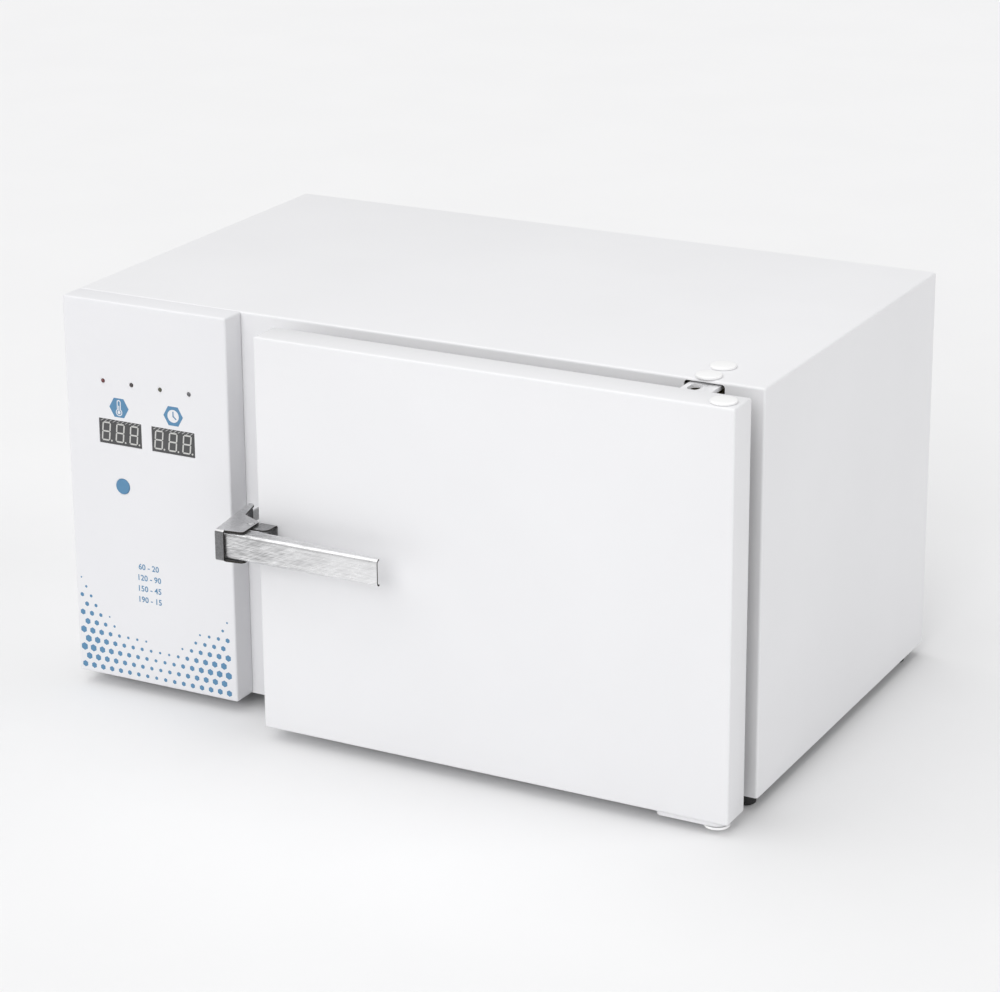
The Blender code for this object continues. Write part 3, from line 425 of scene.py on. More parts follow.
lensTones = {"Red": ((0.16, 0.03, 0.03), (0.12, 0.022, 0.022)), "Dark": ((0.035, 0.022, 0.022), (0.028, 0.018, 0.018)),
             "Olive": ((0.07, 0.07, 0.035), (0.055, 0.055, 0.028)), "Clear": ((0.12, 0.12, 0.13), (0.09, 0.09, 0.1))}
lensLooks = {tone.lower() + "_light": painted("light" + tone, *pair, 900.0, 0.03, (0.12, 0.2), Coat_Weight=0.6)
             for tone, pair in lensTones.items()}
print("materials made")

nodeLooks = {
    "white_paint": whitePaint, "panel_paint": panelPaint, "stainless": steelDeep, "dark_steel": darkSteel,
    "zinc_sheet": zincSheet, "black_rubber": blackRubber, "silicone": siliconeGum, "mineral_wool": woolFelt,
    "circuit_board": boardGreen, "black_plastic": blackPlastic, "display_window": displayGrey,
    "blue_plastic": buttonBlue}
slotOf = {entry["node"]: entry["material_slot"] for entry in frame["record"]["subparts"]}
for nodeName, node in frame["nodes"].items():
    look = nodeLooks.get(slotOf.get(nodeName))
    if look:
        node.data.materials.clear()
        node.data.materials.append(look)


# camera and studio

cameraPlace = {"spot": (1363.7, -1882.7, 951.7), "yaw": 0.4874, "pitch": -0.3083, "roll": -0.0063,
               "lens": 111.98, "shift": -0.10}


def addCamera(look):
    lens = bpy.data.cameras.new("photoCamera")
    camera = linked("photoCamera", lens)
    bpy.context.scene.camera = camera
    lens.lens = look["lens"]
    lens.sensor_width = 36
    lens.shift_y = look["shift"]
    lens.clip_end = 50
    yaw, pitch, roll = look["yaw"], look["pitch"], look["roll"]
    forward = Vector((-math.sin(yaw) * math.cos(pitch), math.cos(yaw) * math.cos(pitch), math.sin(pitch)))
    right = Vector((math.cos(yaw), math.sin(yaw), 0))
    tilted = right * math.cos(roll) + right.cross(forward) * math.sin(roll)
    camera.matrix_world = Matrix.Translation(spot(*look["spot"])) @ Matrix(
        (tilted, tilted.cross(forward), -forward)).transposed().to_4x4()


studio = {
    "suns": {"skySun": {"from": (-0.12, -0.05, 0.4), "strength": 1.4, "angle": 75},
             "frontSun": {"from": (0.09, -0.88, 0.47), "strength": 0.98, "angle": 35},
             "sideSun": {"from": (0.84, 0.22, 0.5), "strength": 0.46, "angle": 40}},
    "world": 0.42, "paper": (0.86, 0.86, 0.865), "paperSize": 40}


def addStudio(look):
    for name, sun in look["suns"].items():
        lamp = bpy.data.lights.new(name, "SUN")
        lamp.energy = sun["strength"]
        lamp.angle = math.radians(sun["angle"])
        light = linked(name, lamp)
        light.location = Vector(sun["from"]) * 8
        light.rotation_euler = (-light.location).to_track_quat("-Z", "Y").to_euler()
    world = bpy.data.worlds.new("studioWorld")
    world.use_nodes = True
    sky = world.node_tree.nodes["Background"]
    sky.inputs["Color"].default_value = (1, 1, 1, 1)
    sky.inputs["Strength"].default_value = look["world"]
    bpy.context.scene.world = world
    bpy.context.scene.view_settings.view_transform = "Standard"
    dropSelection()
    bpy.ops.mesh.primitive_plane_add(size=look["paperSize"], location=(0, 0, -0.0002))
    floor = named("studioFloor")
    floor.data.materials.append(painted("floorPaper", look["paper"], tuple(c * 0.99 for c in look["paper"]),
                                        60.0, 0.02, (0.85, 0.95)))


addCamera(cameraPlace)
addStudio(studio)
print("camera and studio made")

# cabinet shell: the wrapped cover with its front sheet

cabinetSizes = {"size": (572, 335, 308), "bend": 1.9, "sheet": 1.2, "cut": (-5, 6),
                "openings": {"chamberCut": (222, 540, 35, 271, 3), "wireCut": (20, 127, 60, 260, 3),
                             "slotCut": (510.6, 541.6, 296, 306.1, 2.5)}}


def makeCabinetShell(sizes):
    shell = block("cabinetShell", (0, 0, 0), sizes["size"])
    openSides(shell, (0, 0, -1), (0, 1, 0))
    bendEdges(shell, sizes["bend"])
    wall(shell, sizes["sheet"])
    for name, opening in sizes["openings"].items():
        cutAway(shell, standing(name, roundBox(*opening), *sizes["cut"]))
    finishPiece(shell, "cabinet", "white_paint", whitePaint, "outer_cover", "front_fascia")


makeCabinetShell(cabinetSizes)
print("cabinet shell made")

# door shell

doorSizes = {"low": (190, -52, 0), "high": (572, -23, 308), "bend": 1.8, "sheet": 1.2, "flange": 14,
             "notch": ((508, -28, 296), (570.8, -18, 306.7))}


def makeDoorShell(sizes):
    shell = block("doorShell", sizes["low"], sizes["high"])
    pick(shell, "FACE", lambda face: face.normal.y > 0.9)
    bpy.ops.mesh.inset(thickness=sizes["flange"] / 1000)
    bpy.ops.mesh.delete(type="FACE")
    leaveEdit()
    bendEdges(shell, sizes["bend"])
    wall(shell, sizes["sheet"])
    cutAway(shell, block("notchCut", *sizes["notch"]))
    finishPiece(shell, "door", "white_paint", whitePaint, "door_outer")


makeDoorShell(doorSizes)
print("door shell made")

# control box with its windows and holes

panelSizes = {"low": (0, -22, 0), "high": (147, -0.6, 308), "bend": 1.8, "sheet": 1.2, "cut": (-26, -18),
              "windows": {"left": (29, 68, 194, 214, 0.6), "right": (77.2, 116.2, 194, 214, 0.6)},
              "button": (48.8, 160.9, 6.45), "lights": (34.5, 60.5, 86.5, 112.5), "lightZ": 244.3, "lightHole": 1.8}


def makeControlBox(sizes):
    box = block("controlBox", sizes["low"], sizes["high"])
    openSides(box, (0, 1, 0))
    bendEdges(box, sizes["bend"])
    wall(box, sizes["sheet"])
    for window in sizes["windows"].values():
        cutAway(box, standing("windowCut", roundBox(*window), *sizes["cut"]))
    front = sizes["low"][1]
    x, z, radius = sizes["button"]
    cutAway(box, rod("buttonCut", (x, front, z), radius, 10, "Y"))
    for x in sizes["lights"]:
        cutAway(box, rod("lightCut", (x, front, sizes["lightZ"]), sizes["lightHole"], 10, "Y", 24))
    finishPiece(box, "cabinet", "panel_paint", panelPaint, "control_panel_box")


makeControlBox(panelSizes)
print("control box made")

# displays with unlit segments

displaySizes = {"display_left": 29.2, "display_right": 77.4, "width": 38.6, "low": 194.2, "high": 213.8,
                "face": -21.5, "back": -12.6, "digitPitch": 12.7, "digitLow": 196.6, "digitHeight": 14.2,
                "digitWidth": 6.6, "bar": 1.15, "gap": 0.18, "slant": 0.1, "dot": 0.75, "dotOff": 2.1, "ribs": 10}


def digitBars(x, z, sizes):  # outlines of the seven bars of one digit, from its lower left corner
    wide, tall, half, gap = sizes["digitWidth"], sizes["digitHeight"], sizes["bar"] / 2, sizes["gap"]
    places = [(0, 0, wide, 0), (0, tall / 2, wide, tall / 2), (0, tall, wide, tall),
              (0, 0, 0, tall / 2), (0, tall / 2, 0, tall), (wide, 0, wide, tall / 2), (wide, tall / 2, wide, tall)]
    outlines = []
    for startX, startZ, endX, endZ in places:
        flat = startZ == endZ
        length = (endX - startX if flat else endZ - startZ) - 2 * gap
        corners = [(gap, 0), (gap + half, -half), (gap + length - half, -half), (gap + length, 0),
                   (gap + length - half, half), (gap + half, half)]
        corners = [(a, b) if flat else (b, a) for a, b in corners]
        outlines.append([(x + startX + a + (startZ + b) * sizes["slant"], z + startZ + b) for a, b in corners])
    return outlines


def makeDisplay(name, sizes):
    left, face, high, wide = sizes[name], sizes["face"], sizes["high"], sizes["width"]
    body = block(name + "Body", (left, face, sizes["low"]), (left + wide, sizes["back"], high))
    finishPiece(soften(body, 0.25), "cabinet", "display_window", displayGrey, name)
    first = left + (wide - 2 * sizes["digitPitch"] - sizes["digitWidth"]) / 2 - 1.3
    bars = []
    for i in range(3):
        x = first + i * sizes["digitPitch"]
        bars += digitBars(x, sizes["digitLow"], sizes)
        bars.append(arcPoints(x + sizes["digitWidth"] + sizes["dotOff"], sizes["digitLow"], sizes["dot"], 0, 330, 12))
    segments = standingPlates(name + "Segments", bars, face - 0.06, face + 0.3)
    finishPiece(segments, "cabinet", "display_window", segmentGrey)
    ribs = []
    for i in range(sizes["ribs"]):
        x = left + 0.9 + i * (wide - 5.2) / (sizes["ribs"] - 1)
        ribs.append([(x, high - 2.1), (x + 0.9, high - 2.1), (x + 3.6, high - 0.25), (x + 2.7, high - 0.25)])
    finishPiece(standingPlates(name + "Ribs", ribs, face - 0.1, face + 0.3), "cabinet", "display_window", ribGrey)


makeDisplay("display_left", displaySizes)
makeDisplay("display_right", displaySizes)
print("displays made")

# indicator lights: a round lens with a domed front, behind the panel's small holes

lightSizes = {"radius": 1.5, "front": -23.1, "back": -12.6, "dome": 1.1, "steps": 5}


def makeLights(sizes, panel):
    radius, back, dome, steps = sizes["radius"], sizes["back"], sizes["dome"], sizes["steps"]
    angles = [math.radians(90 * i / steps) for i in range(steps + 1)]
    profile = [(0, back), (radius, back)]
    profile += [(radius * math.cos(a), sizes["front"] + dome - dome * math.sin(a)) for a in angles]
    for i, (x, (slotName, look)) in enumerate(zip(panel["lights"], lensLooks.items())):
        light = spun(f"lightDome{i + 1}", profile, (x, 0, panel["lightZ"]), "Y", 32)
        finishPiece(light, "cabinet", slotName, look, f"led_{i + 1}", angle=50)


makeLights(lightSizes, panelSizes)
print("indicator lights made")

# round push button

buttonSizes = {"x": 48.8, "z": 160.9, "radius": 6.2, "front": -22.6, "flange": 7.6, "flangeFront": -20.5, "back": -17.6}


def makeButton(sizes):
    radius, front = sizes["radius"], sizes["front"]
    profile = [(0, front + 0.22), (radius * 0.55, front + 0.16), (radius * 0.82, front + 0.02), (radius - 0.5, front),
               (radius - 0.18, front + 0.1), (radius, front + 0.45), (radius, sizes["flangeFront"]),
               (sizes["flange"] - 0.2, sizes["flangeFront"]), (sizes["flange"], sizes["flangeFront"] + 0.2),
               (sizes["flange"], sizes["back"]), (0, sizes["back"])]
    button = spun("pushButton", profile, (sizes["x"], 0, sizes["z"]), "Y", 64)
    finishPiece(button, "button", "blue_plastic", buttonBlue, "program_button", angle=40)


makeButton(buttonSizes)
print("button made")

# printed marks on the panel: two plain signs, plain numbers and a field of small hexagons

printSizes = {"front": -22.05, "back": -21.95, "tempAt": (48.2, 224.3), "timeAt": (97.6, 224.8), "signRadius": 8.8,
              "numbers": ("60 - 20", "120 - 90", "150 - 45", "190 - 15"), "numbersAt": (69.3, 95.0), "lineDrop": 9.0,
              "numberSize": 6.6, "dotPitch": 8.4, "dotMost": 4.0, "dotLeast": 0.75, "dotRight": 142, "dotRows": 13,
              "dotColumns": 18}


def printed(name, outlines, material, lift=0.0):
    piece = standingPlates(name, outlines, printSizes["front"] - lift, printSizes["back"])
    finishPiece(piece, "cabinet", "panel_paint", material)


def keyhole(x, z, radius, half, top):  # a round bulb with a narrower stem above it
    lift = math.degrees(math.acos(half / radius))
    return arcPoints(x, z, radius, 180 - lift, 360 + lift, 30) + arcPoints(x, top, half, 0, 180, 11)


def makeSigns(sizes):
    (tempX, tempZ), (timeX, timeZ), radius = sizes["tempAt"], sizes["timeAt"], sizes["signRadius"]
    printed("printedSigns", [ringPoints(tempX, tempZ, radius, 6), ringPoints(timeX, timeZ, radius, 6)], printBlue)
    bulbZ = tempZ - 3.6
    printed("printedTube", [keyhole(tempX, bulbZ, 2.9, 1.75, tempZ + 4.6)], printWhite, 0.05)
    printed("printedCore", [keyhole(tempX, bulbZ, 2.15, 1.0, tempZ + 4.5)], printBlue, 0.1)
    printed("printedBulb", [keyhole(tempX, bulbZ, 1.35, 0.42, tempZ + 1.4)], printWhite, 0.15)
    printed("printedFace", [ringPoints(timeX, timeZ, 5.1, 40)], printWhite, 0.05)
    hands = [[(-0.5, -0.5), (0.5, -0.3), (0.5, 3.7), (-0.5, 3.7)], [(-0.4, -0.5), (2.4, -2.7), (3.0, -2.0), (0.4, 0.3)]]
    printed("printedHands", [[(timeX + x, timeZ + z) for x, z in hand] for hand in hands], printBlue, 0.1)


def makeNumbers(sizes):
    x, z = sizes["numbersAt"]
    pieces = []
    for i, line in enumerate(sizes["numbers"]):
        dropSelection()
        bpy.ops.object.text_add(location=(0, 0, 0))
        text = bpy.context.object
        text.data.body = line
        text.data.size = sizes["numberSize"] / 1000
        text.data.align_x = "CENTER"
        text.data.extrude = 0.00005
        text.data.offset = 0.00012
        text.data.resolution_u = 3
        makeActive(text)
        bpy.ops.object.convert(target="MESH")
        mesh = bpy.context.object
        mesh.data.transform(Matrix.Rotation(math.pi / 2, 4, "X"))
        mesh.data.transform(Matrix.Translation(spot(x, sizes["front"] + 0.05, z - i * sizes["lineDrop"])))
        pieces.append(mesh)
    finishPiece(gather("printedNumbers", pieces), "cabinet", "panel_paint", printBlue)


def makeDotField(sizes):  # small hexagons in staggered rows, smaller with height, in one low wave
    outlines = []
    pitch = sizes["dotPitch"]
    for row in range(sizes["dotRows"]):
        z = 6.0 + row * pitch * 0.87
        for column in range(sizes["dotColumns"]):
            x = 5.2 + column * pitch + (row % 2) * pitch / 2
            if x > sizes["dotRight"]:
                continue
            across = (x - 73) / 73
            reach = 36 + 50 * abs(across) ** 1.8 - 7 * max(0.0, across) + 4 * math.sin(x / 8.0)
            size = sizes["dotMost"] * min(1.0, max(0.0, (reach - z) / (reach - 4))) ** 0.5
            size *= (0.6 + 0.4 * min(1.0, z / 24)) * (0.55 + 0.45 * abs(across) ** 0.8)
            if size > sizes["dotLeast"]:
                outlines.append(ringPoints(x, z, size, 6, math.pi / 6))
    printed("printedField", outlines, printBlue)


makeSigns(printSizes)
makeNumbers(printSizes)
makeDotField(printSizes)
print("panel marks made")

# latch: bent sheet steel with darker cut edges; plates: inner and outer height, and an outline about the pin

latchSizes = {
    "pivot": (190.5, -62.5, 154.8), "pin": 2.4, "pinPlay": 0.3, "pinHalf": 12.3, "roller": (-21.9, 33.2, 2.2, 10.5),
    "hook": {"low": (-17.3, -22.8, -12.3), "high": (-10.1, -17.8, 12.3), "bend": 2.4, "sheet": 1.5, "soft": 0.22,
             "cut": 1.7, "webEnd": -20, "plates": {"hookPlate": (10.8, 12.3, (
                 (-17.3, -20, 0.2), (-9.7, -20, 0.15), (-9.7, -21.377, 0.15), (4.8, -19.2, 3), (3.4, 5.6, 1.5),
                 (-14.3, 14.6, 1.5), (-20.0, 36.0, 1.5), (-25.8, 40.0, 1.5)))}},
    "lever": {"low": (-14.5, -20.5, -10.4), "high": (118.5, -16.9, 10.4), "bend": 3.2, "sheet": 1.3, "soft": 0.18,
              "cut": 1.5, "plates": {
                  "leverFlange": (9.1, 10.4, ((-14.5, -17, 0.1), (118.5, -17, 0.1), (118.5, -16.9, 0.2), (17, -8.5, 4),
                                              (-14.5, -8.5, 1))),
                  "leverEar": (7.9, 9.2, ((-14.5, -19.9, 0.1), (9, -19.9, 0.1), (5, 5.5, 2), (-4.5, 5.5, 2),
                                          (-14.5, -5.5, 2)))}},
    "bracket": {"low": (3.5, 5.7, -10.5), "high": (16.5, 10.2, 10.5), "bend": 2.2, "sheet": 1.0, "soft": 0.16,
                "cut": 1.2, "plates": {"bracketPlate": (9.5, 10.5, (
                    (-4.5, -5.5, 3), (16.5, -5.5, 6), (16.5, 7.7, 0.2), (3.5, 7.7, 0.2), (2, 6.2, 1),
                    (-4.5, 4.2, 1)))}}}


def makeSheetPart(name, part, openY, body, material, node):  # a channel, its two plates and the pin's holes
    x, y, z = pivot = latchSizes["pivot"]
    low, high = ([a + b for a, b in zip(pivot, end)] for end in (part["low"], part["high"]))
    strip = block(name, low, high)
    openSides(strip, (1, 0, 0), (-1, 0, 0), (0, openY, 0))
    bendEdges(strip, part["bend"], 6)
    wall(strip, part["sheet"])
    for label, (inner, outer, outline) in part["plates"].items():
        corners = roundCorners([(x + a, y + b, radius) for a, b, radius in outline])
        for plateLow, plateHigh in ((inner, outer), (-outer, -inner)):
            fuse(strip, flatOutline(label, corners, z + plateLow, z + plateHigh))
    cutAway(strip, rod("pinCut", pivot, latchSizes["pin"] + latchSizes["pinPlay"], 60))
    finishPiece(soften(strip, part["soft"]), body, "stainless", material, node)
    strip.data.materials.append(edgeSteel)
    return strip


def markEdges(strip, part, test=lambda face: True):  # the sheet's cut edges get the second material
    points = strip.data.vertices
    for face in strip.data.polygons:
        heights = [points[i].co.z for i in face.vertices]
        if abs(face.normal.z) < 0.5 and max(heights) - min(heights) < part["cut"] / 1000 and test(face):
            face.material_index = 1


def makeHook(sizes):
    part = sizes["hook"]
    strip = makeSheetPart("latchHook", part, 1, "latch", hookSteel, "latch_hook")
    markEdges(strip, part)
    strip.data.materials.append(webShadedSteel)
    webEnd, webFace = (spot(0, sizes["pivot"][1] + y, 0).y for y in (part["webEnd"], part["low"][1] + 1))
    for face in strip.data.polygons:
        if abs(face.normal.x) > 0.8 and face.center.y < webEnd:
            face.material_index = 1
        # the web's front face takes the darker copy of the steel: painted shade
        elif face.normal.y < -0.9 and face.center.y < webFace:
            face.material_index = 2


def makeLever(sizes):
    part = sizes["lever"]
    strip = makeSheetPart("latchLever", part, 1, "latch", leverSteel, "latch_lever")
    behind = spot(0, sizes["pivot"][1] + part["low"][1] + 2, 0).y
    markEdges(strip, part, lambda face: face.center.y > behind)
    for face in strip.data.polygons:
        if abs(face.normal.x) > 0.9:
            face.material_index = 1


def makeBracket(sizes):
    part = sizes["bracket"]
    markEdges(makeSheetPart("latchBracket", part, -1, "door", bracketSteel, "latch_bracket"), part)


def makePins(sizes):
    (pivotX, pivotY, z), radius, outer = sizes["pivot"], sizes["pin"], sizes["pinHalf"]
    profile = [(0, -outer), (radius - 0.25, -outer), (radius, -outer + 0.25), (radius, outer),
               (radius - 0.25, outer + 0.25), (radius * 0.5, outer + 0.45), (0, outer + 0.5)]
    finishPiece(spun("latchPin", profile, (pivotX, pivotY, z), steps=32), "door", "stainless", hookSteel, "latch_pin")
    x, y, radius, half = sizes["roller"]
    waist = radius - 0.35
    profile = [(0, -half), (waist, -half), (waist, 1 - half), (radius - 0.15, 1 - half), (radius, 1.2 - half),
               (radius, half - 1.2), (radius - 0.15, half - 1), (waist, half - 1), (waist, half), (0, half)]
    roller = spun("latchRoller", profile, (pivotX + x, pivotY + y, z), steps=32)
    finishPiece(roller, "latch", "dark_steel", darkSteel, "latch_roller")


makeHook(latchSizes)
makeLever(latchSizes)
makeBracket(latchSizes)
makePins(latchSizes)
print("latch made")

# caps over the hinge arm's bolts and on the door's two hinge pins

capSizes = {"radius": 9.5, "edge": 0.8, "thick": 2.2, "hollow": 0.8, "seat": 308.3,
            "upper": {"hinge_cap_front": ("capFront", "cabinet", 526, 7.7, 2.6, 301.7),
                      "hinge_cap_rear": ("capRear", "cabinet", 526, 32.6, 2.6, 301.7),
                      "upper_hinge_pin": ("capDoor", "door", 559, -41, 3.0, 297.7)},
            "lower": (559, -41, 4.1, 3.0, -4.0)}


def capProfile(sizes, low, shank, shankEnd):  # a low dome with a rounded rim, hollow beneath, on its shank
    radius, edge, top, hollow = sizes["radius"], sizes["edge"], low + sizes["thick"], low + sizes["hollow"]
    profile = [(0, top), (radius * 0.5, top - 0.08), (radius - edge - 0.4, top - 0.3)]
    profile += [(radius - edge + edge * math.sin(a), top - 0.35 - edge + edge * math.cos(a))
                for a in (0.2, 0.6, 1.0, 1.3, math.pi / 2)]
    return profile + [(radius, low + 0.15), (radius - 0.15, low), (radius - 1.2, low), (radius - 1.4, hollow),
                      (shank + 1, hollow), (shank, hollow), (shank, shankEnd + 0.3), (shank - 0.3, shankEnd),
                      (0, shankEnd)]


def makeCaps(sizes):
    for node, (name, body, x, y, shank, shankEnd) in sizes["upper"].items():
        cap = spun(name, capProfile(sizes, sizes["seat"], shank, shankEnd), (x, y, 0))
        finishPiece(cap, body, "white_paint", capPaint, node)
    x, y, *rest = sizes["lower"]
    upturned = [(radius, -place) for radius, place in capProfile(sizes, *rest)]
    finishPiece(spun("capUnder", upturned, (x, y, 0)), "door", "white_paint", capPaint, "lower_hinge_pin")


makeCaps(capSizes)
print("caps made")

# rubber feet with a screw recess

footSizes = {"x": {"left": 35, "right": 558}, "y": {"front": 12, "rear": 310}, "radius": 9, "low": -10, "high": -0.3}


def makeFeet(sizes):
    radius, low, high = sizes["radius"], sizes["low"], sizes["high"]
    profile = [(0, high), (radius, high), (radius, high - 1.2), (radius - 0.25, high - 1.4), (radius - 1.2, low + 1.4),
               (radius - 1.4, low + 0.7), (radius - 1.9, low + 0.2), (radius - 2.5, low), (radius - 4.6, low),
               (radius - 4.9, low + 0.3), (radius - 5.1, low + 4.5), (0, low + 4.5)]
    for side, x in sizes["x"].items():
        for end, y in sizes["y"].items():
            foot = spun(f"foot{end.title()}{side.title()}", profile, (x, y, 0))
            finishPiece(foot, "cabinet", "black_rubber", blackRubber, f"foot_{end}_{side}")


makeFeet(footSizes)
print("feet made")

# hinge arms, bent in plan, with the screws under the lower one

armSizes = {"outline": ((514, -49, 5), (567, -49, 7.7), (567, -33, 7.7), (538, -33, 0.4), (538, 42, 5), (514, 42, 5)),
            "pin": (559, -41, 3.3), "bolts": ((526, 7.7, 3.0), (526, 32.6, 3.0)), "slot": (522.5, -7.5, 3, 4.5),
            "levels": {"armUpper": (301.5, 304.5, "upper_hinge_arm"), "armLower": (-3.8, -0.8, "lower_hinge_arm")},
            "screw": (5.0, -6.1, -4.1, 2.6, 5.8), "cross": (2.4, 0.45, 1.1)}


def makeArms(sizes):
    holes = [slotOutline(*sizes["slot"], 12)]
    holes += [arcPoints(*hole, 0, 345, 24) for hole in (sizes["pin"], *sizes["bolts"])]
    for name, (low, high, node) in sizes["levels"].items():
        arm = flatOutline(name, roundCorners(sizes["outline"]), low, high, holes)
        finishPiece(soften(arm, 0.3), "cabinet", "white_paint", whitePaint, node)


def crossCut(centre, reach, half, deep, upright=True):  # the cross in a screw's head, as two crossed bars
    bars = []
    for wide, tall in ((reach, half), (half, reach)):
        size = (wide, deep, tall) if upright else (wide, tall, deep)
        bars.append(block("crossCut", [c - s for c, s in zip(centre, size)], [c + s for c, s in zip(centre, size)]))
    return bars


def makeArmScrews(sizes):
    head, low, seat, shank, end = sizes["screw"]
    profile = [(0, low), (head * 0.45, low + 0.08), (head * 0.75, low + 0.4), (head - 0.25, low + 1.1),
               (head, low + 1.7), (head, seat), (shank, seat), (shank, end - 0.6), (shank - 0.6, end), (0, end)]
    for label, (x, y, _) in zip(("front", "rear"), sizes["bolts"]):
        screw = spun("armScrew" + label.title(), profile, (x, y, 0))
        cutAway(screw, *crossCut((x, y, low), *sizes["cross"], False))
        finishPiece(screw, "cabinet", "stainless", hookSteel, "lower_arm_screw_" + label)


makeArms(armSizes)
makeArmScrews(armSizes)
print("hinge arms made")

# door: inner pan with a stamped field, and the gasket round it

panSizes = {"brim": (195, 567, 5, 292), "brimY": (-22.7, -21.7), "pan": (208, 554, 21, 285), "face": -5.0, "radius": 3,
            "sheet": 1, "field": 26, "lift": 1.6}
gasketSizes = {"outer": (209, 553, 22, 284), "wide": 12, "y": (-4.7, -0.3), "corner": 7, "lip": 3.8, "deep": 1.2}


def inwards(box, step):  # left, right, low and high, all moved inwards
    left, right, low, high = box
    return left + step, right - step, low + step, high - step


def plainBox(left, right, low, high):
    return [(left, low), (right, low), (right, high), (left, high)]


def frameRing(name, box, wide, corner, front, back):
    return standing(name, roundBox(*box, corner), front, back, [roundBox(*inwards(box, wide), 1)])


def makeDoorPan(sizes):
    (left, right, low, high), face = sizes["pan"], sizes["face"]
    front, back = sizes["brimY"]
    pan = block("doorPan", (left, front + 0.4, low), (right, face, high))
    openSides(pan, (0, -1, 0))
    bendEdges(pan, sizes["radius"])
    wall(pan, sizes["sheet"])
    field = standing("panField", roundBox(*inwards(sizes["pan"], sizes["field"]), 9), face - 0.6, face + sizes["lift"])
    fieldY = spot(0, face + sizes["lift"], 0).y
    bendEdges(field, 1.5, 4, lambda edge: all(abs(point.co.y - fieldY) < 0.00001 for point in edge.verts))
    opening = plainBox(*inwards(sizes["pan"], sizes["sheet"] * 0.6))
    fuse(pan, field, standing("panBrim", roundBox(*sizes["brim"], 2), front, back, [opening]))
    # the pan takes the darker steel: painted shade in the gap beside the door
    finishPiece(pan, "door", "stainless", panShadedSteel, "door_inner_pan")


def makeGasket(sizes):
    front, back = sizes["y"]
    lip, corner, deep = sizes["lip"], sizes["corner"], sizes["deep"]
    gasket = frameRing("doorGasket", sizes["outer"], sizes["wide"], corner, front, back - deep)
    for shift in (0, sizes["wide"] - lip):
        box = inwards(sizes["outer"], shift)
        fuse(gasket, frameRing("gasketLip", box, lip, max(corner - shift, 1.2), back - deep - 0.5, back))
    finishPiece(soften(gasket, 0.5, 3), "door", "silicone", siliconeGum, "door_gasket")


makeDoorPan(panSizes)
makeGasket(gasketSizes)
print("door's inside made")

# chamber with its runners, trays and the probe's hole

chamberSizes = {"inside": (222, 540, 35, 271), "flange": (213, 549, 26, 280), "y": (1.5, 263), "sheet": 1, "bend": 4,
                "probe": (381, 245, 2.4)}
runnerSizes = {"levels": {"lower": 95, "upper": 178}, "sides": {"left": (222.3, 1), "right": (539.7, -1)},
               "y": (14, 256), "height": 12, "shelf": 10, "sheet": 1.2, "bend": 1.6, "hole": (16, 7.4, 1.6)}
traySizes = {"low": (225.5, 32, 96.5), "high": (536.5, 254, 107.5), "rise": 83, "sheet": 1, "bend": 2.2, "columns": 9,
             "rows": 4, "border": 22, "slot": 8, "bridge": 9}


def makeChamber(sizes):
    (left, right, low, high), (front, back), sheet = sizes["inside"], sizes["y"], sizes["sheet"]
    shell = block("chamberShell", (left - sheet, front + 0.3, low - sheet), (right + sheet, back, high + sheet))
    openSides(shell, (0, -1, 0))
    bendEdges(shell, sizes["bend"], 5)
    wall(shell, sheet)
    opening = roundBox(*inwards(sizes["inside"], -sheet / 2), sizes["bend"] - sheet / 2)
    fuse(shell, standing("chamberFlange", roundBox(*sizes["flange"], 3), front, front + sheet, [opening]))
    x, z, radius = sizes["probe"]
    cutAway(shell, rod("probeCut", (x, back, z), radius, 8, "Y", 32))
    finishPiece(soften(shell, 0.2, angle=60), "cabinet", "stainless", steelDeep, "chamber")


def makeRunners(sizes):
    front, back = sizes["y"]
    holeIn, holeUp, radius = sizes["hole"]
    for level, z in sizes["levels"].items():
        for side, (near, inward) in sizes["sides"].items():
            low, high = sorted((near, near + inward * sizes["shelf"]))
            rail = block(f"runner{side.title()}{level.title()}", (low, front, z), (high, back, z + sizes["height"]))
            openSides(rail, (inward, 0, 0), (0, 0, 1), (0, 1, 0), (0, -1, 0))
            bendEdges(rail, sizes["bend"])
            wall(rail, sizes["sheet"])
            soften(rail, 0.15)
            for y in (front + holeIn, back - holeIn):
                cutAway(rail, rod("runnerHole", (near, y, z + holeUp), radius, 6, "X", 20))
            finishPiece(rail, "cabinet", "stainless", steelDeep, f"runner_{side}_{level}")


def makeTrays(sizes):
    (left, front, low), (right, back, high), border = sizes["low"], sizes["high"], sizes["border"]
    tray = block("trayLower", (left, front, low), (right, back, high))
    openSides(tray, (0, 0, 1))
    bendEdges(tray, sizes["bend"], 4)
    wall(tray, sizes["sheet"])
    columnPitch = (right - left - 2 * border) / sizes["columns"]
    rowPitch = (back - front - 2 * border) / sizes["rows"]
    reach = (rowPitch - sizes["bridge"] - sizes["slot"]) / 2
    cutters = []
    for column in range(sizes["columns"]):
        for row in range(sizes["rows"]):
            x = left + border + (column + 0.5) * columnPitch
            y = front + border + (row + 0.5) * rowPitch
            cutters.append(flatOutline("traySlot", slotOutline(x, y, reach, sizes["slot"] / 2, 9), low - 2, low + 3))
    cutAway(tray, gather("traySlots", cutters))
    soften(tray, 0.25, angle=60)
    upper = linked("trayUpper", tray.data.copy())
    upper.data.name = "trayUpper"
    upper.data.transform(Matrix.Translation((0, 0, sizes["rise"] / 1000)))
    finishPiece(tray, "lower_tray", "stainless", steelAcross, "tray_lower")
    finishPiece(upper, "upper_tray", "stainless", steelAcross, "tray_upper")


makeChamber(chamberSizes)
makeRunners(runnerSizes)
makeTrays(traySizes)
print("chamber and trays made")

# rear sheet with its vents, the mains inlet and the sheet's screws

